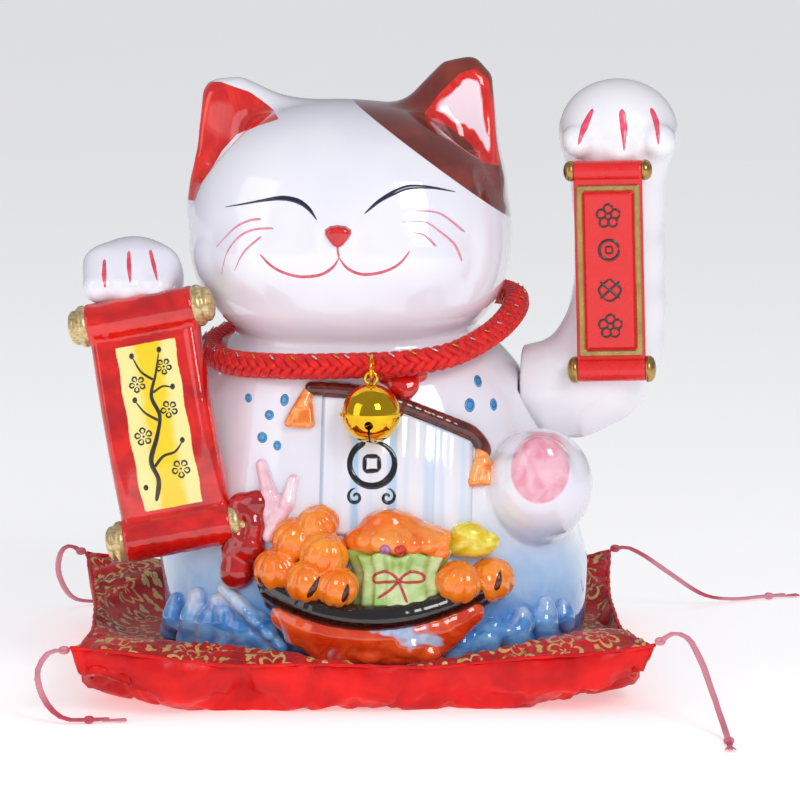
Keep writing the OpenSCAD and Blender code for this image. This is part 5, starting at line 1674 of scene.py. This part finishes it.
def brocade_look():
    """Deep red brocade with woven gold blossoms and sprigs."""
    look = Look("red_brocade", Sheen_Weight=0.1, Sheen_Roughness=0.4)
    flower = flower_field(look, 19, 5, 3, 8)
    ring = look.step(look.math("ABSOLUTE", look.math("SUBTRACT", flower, 0.1)), 0.12, 0.07)
    heart = look.step(flower, 0.62, 0.68)
    sprig = flower_field(look, 7.5, 3, 40, 17)
    leaf = look.step(sprig, 0.08, 0.16)
    gold = look.math("MAXIMUM", look.math("MAXIMUM", ring, heart),
                     look.math("MULTIPLY", leaf, look.step(flower, -0.2, -0.32)), clamp=True)
    broken = look.step(look.noise(0.8, 2), 0.3, 0.42, 0.35, 1)
    gold = look.math("MULTIPLY", gold, broken)
    ground = look.mix(look.step(look.noise(22, 2), 0.35, 0.65), "9c0611", "cc0f16")
    look.colour(look.mix(gold, ground, "e3bd78"))
    look.set(look.shader.inputs["Metallic"], look.math("MULTIPLY", gold, 0.45))
    threads = look.noise(0.6, 1, 0.5, 0, (1, 0.3, 1))
    look.roughness(look.step(threads, 0.3, 0.7, 0.36, 0.52))
    look.bump(gold, 0.18)
    look.bump(threads, 0.04)
    return look


def add_cushion():
    """Square cushion: brocade top, satin below, swollen by a cloth simulation with its seam and seat held."""
    u, v, top, low, free, rim = cushion_grids()
    n = PANEL_CELLS + 1
    number_low = np.full(n * n, -1)
    inside = ~rim.ravel()
    number_low[~inside] = np.flatnonzero(~inside)
    number_low[inside] = n * n + np.arange(inside.sum())
    points = np.concatenate([top.reshape(-1, 3), low.reshape(-1, 3)[inside]])
    faces = grid_faces(n, n)
    faces += [tuple(int(number_low[i]) for i in face[::-1]) for face in grid_faces(n, n)]
    held = np.concatenate([(rim | (free < 0.02)).ravel(), (low[..., 2] <= 0.01).ravel()[inside]])
    moved = cloth_swell(points, faces, held)
    step = moved - points
    length = np.maximum(np.linalg.norm(step, axis=1), 1e-6)
    step *= (np.minimum(length, CLOTH_LIMIT) / length)[:, None]
    top = top + (step[:n * n].reshape(n, n, 3) * free[..., None])
    settled = low.reshape(-1, 3)
    settled[inside] += step[n * n:]
    low = settled.reshape(n, n, 3)
    top, low, u, v = refined(top), refined(low), refined(u[..., None])[..., 0], refined(v[..., None])[..., 0]
    free = np.clip(refined(free[..., None])[..., 0], 0, 1)
    edge = (1 - np.maximum(np.abs(u), np.abs(v))) * HALF_W
    run = np.where(np.abs(u) > np.abs(v), v, u) * HALF_W
    broad = np.sin(run * 0.62 + 1.7 * np.sin(run * 0.09))
    narrow = np.sin(run * 1.07 + 2 + 1.1 * np.sin(run * 0.17))
    pucker = broad + 0.6 * narrow
    pucker *= 0.42 * np.exp(-edge / 11) * np.clip(edge / 2.5, 0, 1)
    fold = np.sin(run * 0.155 + 0.8 * np.sin(run * 0.041)) * np.exp(-((edge - 9) / 12) ** 2)
    top = top + grid_normals(top) * (pucker * free)[..., None]
    low = low - grid_normals(low) * (pucker * 1.8 + 1.9 * fold)[..., None] * np.clip(low[..., 2:] / 7, 0, 1)
    low[..., 2] = np.maximum(low[..., 2], 0.02)
    slim = np.clip(edge, 0.05, CLOTH_THICK)[..., None]
    top_in = top - grid_normals(top) * slim
    low_in = low + grid_normals(low) * slim
    low_in[..., 2] = np.maximum(low_in[..., 2], low[..., 2] + 0.02)
    top_look, low_look = brocade_look(), satin_look()
    cover = panel("cushion_brocade", top, top_in, True, top_look, "brocade")
    for name, values in (("across", u), ("along", v)):
        paint_number(cover, name, np.tile((values * HALF_W).ravel(), 2))
    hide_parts("cushion_top_panel")
    base = panel("cushion_satin", low, low_in, False, low_look, "satin")
    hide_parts("cushion_bottom_panel")
    pad_top = (top - grid_normals(top) * PAD_IN_TOP)[6:-6:2, 6:-6:2]
    pad_low = (low + grid_normals(low) * PAD_IN_LOW)[6:-6:2, 6:-6:2]
    wadding = Look("polyester_wadding", Sheen_Weight=0.3)
    wadding.colour(wadding.mix(wadding.noise(3, 4), "d9d7d0", "f2f1ec"))
    wadding.roughness(wadding.step(wadding.noise(1.5, 2), 0.3, 0.7, 0.85, 0.98))
    wadding.bump(wadding.noise(1.2, 4, 0.7), 0.4)
    filling = panel("cushion_wadding", pad_top, pad_low, True, wadding, "fibre")
    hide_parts("cushion_filling")
    add_seam(top, low_look)


def add_seam(top, look):
    """Rolled edge along the seam with a row of short stitches just above it."""
    rim = grid_rim(*top.shape[:2])
    line = resampled(top.reshape(-1, 3)[rim], 1.6, closed=True)
    middle = line.mean(0)
    out = (line - middle) * (1, 1, 0)
    out /= np.linalg.norm(out, axis=1)[:, None]
    count = np.arange(len(line))
    fat = 0.72 + 0.14 * np.sin(count * 0.9) + 0.08 * np.sin(count * 2.3)
    edge = new_piece("cushion_seam_roll", *tube(line + out * 0.1, fat, 8, closed=True), "cushion", look,
                     "satin")
    inner = top[3:-3, 3:-3]
    lift = grid_normals(top)[3:-3, 3:-3]
    rim = grid_rim(*inner.shape[:2])
    route = resampled((inner + lift * 0.12).reshape(-1, 3)[rim], 1.9, closed=True)
    stitches = []
    for a, b in zip(route[::2], np.roll(route, -1, 0)[::2]):
        stitches.append(tube([a, (a + b) / 2 + (0, 0, 0.08), b], (0.16, 0.27, 0.16), 6, start=(0.3, 0.2, 1)))
    thread = Look("seam_thread", Sheen_Weight=0.3)
    thread.colour(thread.mix(thread.noise(0.6, 2), "b01219", "d8242a"))
    thread.roughness(thread.step(thread.noise(0.4, 1), 0.3, 0.7, 0.4, 0.6))
    thread.bump(thread.noise(0.25, 1), 0.02)
    new_piece("cushion_stitches", *joined(stitches), "cushion", thread, "satin")


# ---------- materials of the parts that keep their own shape ----------
def plain_cloth(name, deep, pale, size=0.8):
    look = Look(name, Sheen_Weight=0.3)
    look.colour(look.mix(look.noise(size * 3, 3), deep, pale))
    look.roughness(look.step(look.noise(size, 2), 0.3, 0.7, 0.8, 0.97))
    look.bump(look.noise(size, 3, 0.7), 0.15)
    return look


def wound(name):
    """Enamelled copper wire wound turn on turn."""
    look = metal(name, "c4703a", 0.22)
    look.bump(look.wave(0.45, "X"), 0.12)
    return look


def jacket(name):
    """Printed cell sleeve: two plain colour bands under clear film."""
    look = Look(name, Coat_Weight=0.8, Coat_Roughness=0.1)
    band = look.step(look.wavered(look.axis("X"), look.noise(30, 1), 0.4), 20.0, 20.4)
    look.colour(look.mix(band, look.mix(look.noise(4, 2), "1c1d21", "26282e"),
                         look.mix(look.noise(4, 2), "b9762f", "cd8a3d")))
    look.roughness(look.step(look.noise(3, 2), 0.3, 0.7, 0.28, 0.4))
    look.bump(look.noise(5, 2), 0.04)
    return look


def printed_board(name):
    look = Look(name, Coat_Weight=0.4, Coat_Roughness=0.2)
    tracks = look.step(look.cells(2.6, (1, 1, 1), "DISTANCE_TO_EDGE"), 0.10, 0.14)
    look.colour(look.mix(tracks, "3c8a4f", "125a2c"))
    look.roughness(look.step(look.noise(1.2, 2), 0.3, 0.7, 0.35, 0.5))
    look.bump(tracks, -0.03)
    return look


def slot_looks():
    bright = metal("bell_gilt", "f4c42c", 0.035, tarnish=0.9)
    return {
        "glaze_white": porcelain("spare_porcelain"), "gold_metal": bright,
        "plastic_white": moulded("plastic_white", "e9e9ea"),
        "plastic_red": moulded("plastic_red", "c5161d", 0.3),
        "plastic_gold": gold_paint("plastic_gold"), "plastic_ivory": moulded("plastic_ivory", "e8dfc6"),
        "plastic_dark": moulded("plastic_dark", "26272b", 0.45),
        "steel": metal("zinc_steel", "b9bcc2", 0.3, True),
        "magnet": metal("nickel_magnet", "9fa2a8", 0.22), "cell_jacket": jacket("cell_sleeve"),
        "bronze_bush": metal("sintered_bronze", "a9743c", 0.4), "copper": wound("copper_wire"),
        "iron": metal("soft_iron", "6b6c70", 0.45, True), "board": printed_board("board_green"),
        "lead_sleeve": moulded("lead_sleeve", "b3201f", 0.45),
        "foam": plain_cloth("foam_grey", "3a3b3f", "55565c", 1.0),
        "felt": plain_cloth("felt_black", "1d1e22", "34363c", 0.6)}


def dress_parts():
    """Gives every part that keeps its own shape the finish of its material slot."""
    looks = slot_looks()
    for row in frame["record"]["subparts"]:
        part = nodes[row["node"]]
        look = looks.get(row.get("material_slot"))
        if look is None or part.hide_render:
            continue
        for slot in part.material_slots:
            slot.material = look.material


# ---------- floor and light ----------
FLOOR_REACH = 16.0             # metres
LIGHT_AIM = Vector((0.0, 0, 0.12))
LIGHTS = [  # name, place and size in metres, watts, whether the gloss shows it
    ("key_window", (0.75, -1.15, 0.95), (0.5, 0.56), 6.5, True),
    ("overhead", (-0.1, -0.1, 1.5), (1.5, 1.2), 2.2, False),
    ("fill", (-1.2, -0.9, 0.6), (0.8, 1.1), 3, True),
    ("front_soft", (0.1, -2.5, 0.75), (2.2, 1.3), 17, False)]


def add_floor():
    """Plain pale floor, faintly bright of itself so that its far part doesn't go grey."""
    corners = [(x * FLOOR_REACH, y * FLOOR_REACH, 0) for x, y in ((-1, -1), (1, -1), (1, 1), (-1, 1))]
    mesh = bpy.data.meshes.new("studio_floor")
    mesh.from_pydata(corners, [], [(0, 1, 2, 3)])
    mesh.update()
    mesh.shade_smooth()
    floor = bpy.data.objects.new("studio_floor", mesh)
    bpy.context.scene.collection.objects.link(floor)
    look = Look("studio_paper", Roughness=0.9)
    look.colour(look.mix(look.noise(300, 1), "f7f7f8", "fbfbfc"))
    look.shader.inputs["Emission Color"].default_value = (1, 1, 1, 1)
    look.shader.inputs["Emission Strength"].default_value = 0.4
    mesh.materials.append(look.material)


def add_lights():
    """Soft light from a window-like key at the right, overhead, a fill and a broad front light."""
    world = bpy.data.worlds.new("studio_world")
    world.use_nodes = True
    world.node_tree.nodes["Background"].inputs["Color"].default_value = rgb("f3f4fb")
    world.node_tree.nodes["Background"].inputs["Strength"].default_value = 0.38
    bpy.context.scene.world = world
    bpy.context.scene.view_settings.view_transform = "Standard"
    for name, place, size, power, in_gloss in LIGHTS:
        data = bpy.data.lights.new(name, "AREA")
        data.shape = "RECTANGLE"
        data.size, data.size_y = size
        data.energy = power
        lamp = bpy.data.objects.new(name, data)
        lamp.location = place
        lamp.rotation_euler = (LIGHT_AIM - Vector(place)).to_track_quat("-Z", "Y").to_euler()
        lamp.visible_glossy = in_gloss
        bpy.context.scene.collection.objects.link(lamp)


# ---------- the whole scene ----------
def build():
    add_camera()
    add_tassels()
    cat = fired("cat_shell", build_cat_clay(), "cat", cat_look(), "glaze_white", "ceramic_body")
    paint_cat(cat)
    add_face(cat)
    add_big_scroll()
    add_rail()
    add_hull()
    add_oranges()
    add_pouch()
    add_filling()
    add_ingot()
    add_corals(clear_of_scroll())
    add_waves(clear_of_scroll())
    sail = add_sail()
    add_spar()
    add_sail_tassels()
    add_pennant()
    add_sail_emblem(sail)
    add_arm()
    add_arm_scroll()
    add_collar()
    add_cushion()
    dress_parts()
    add_floor()
    add_lights()


build()
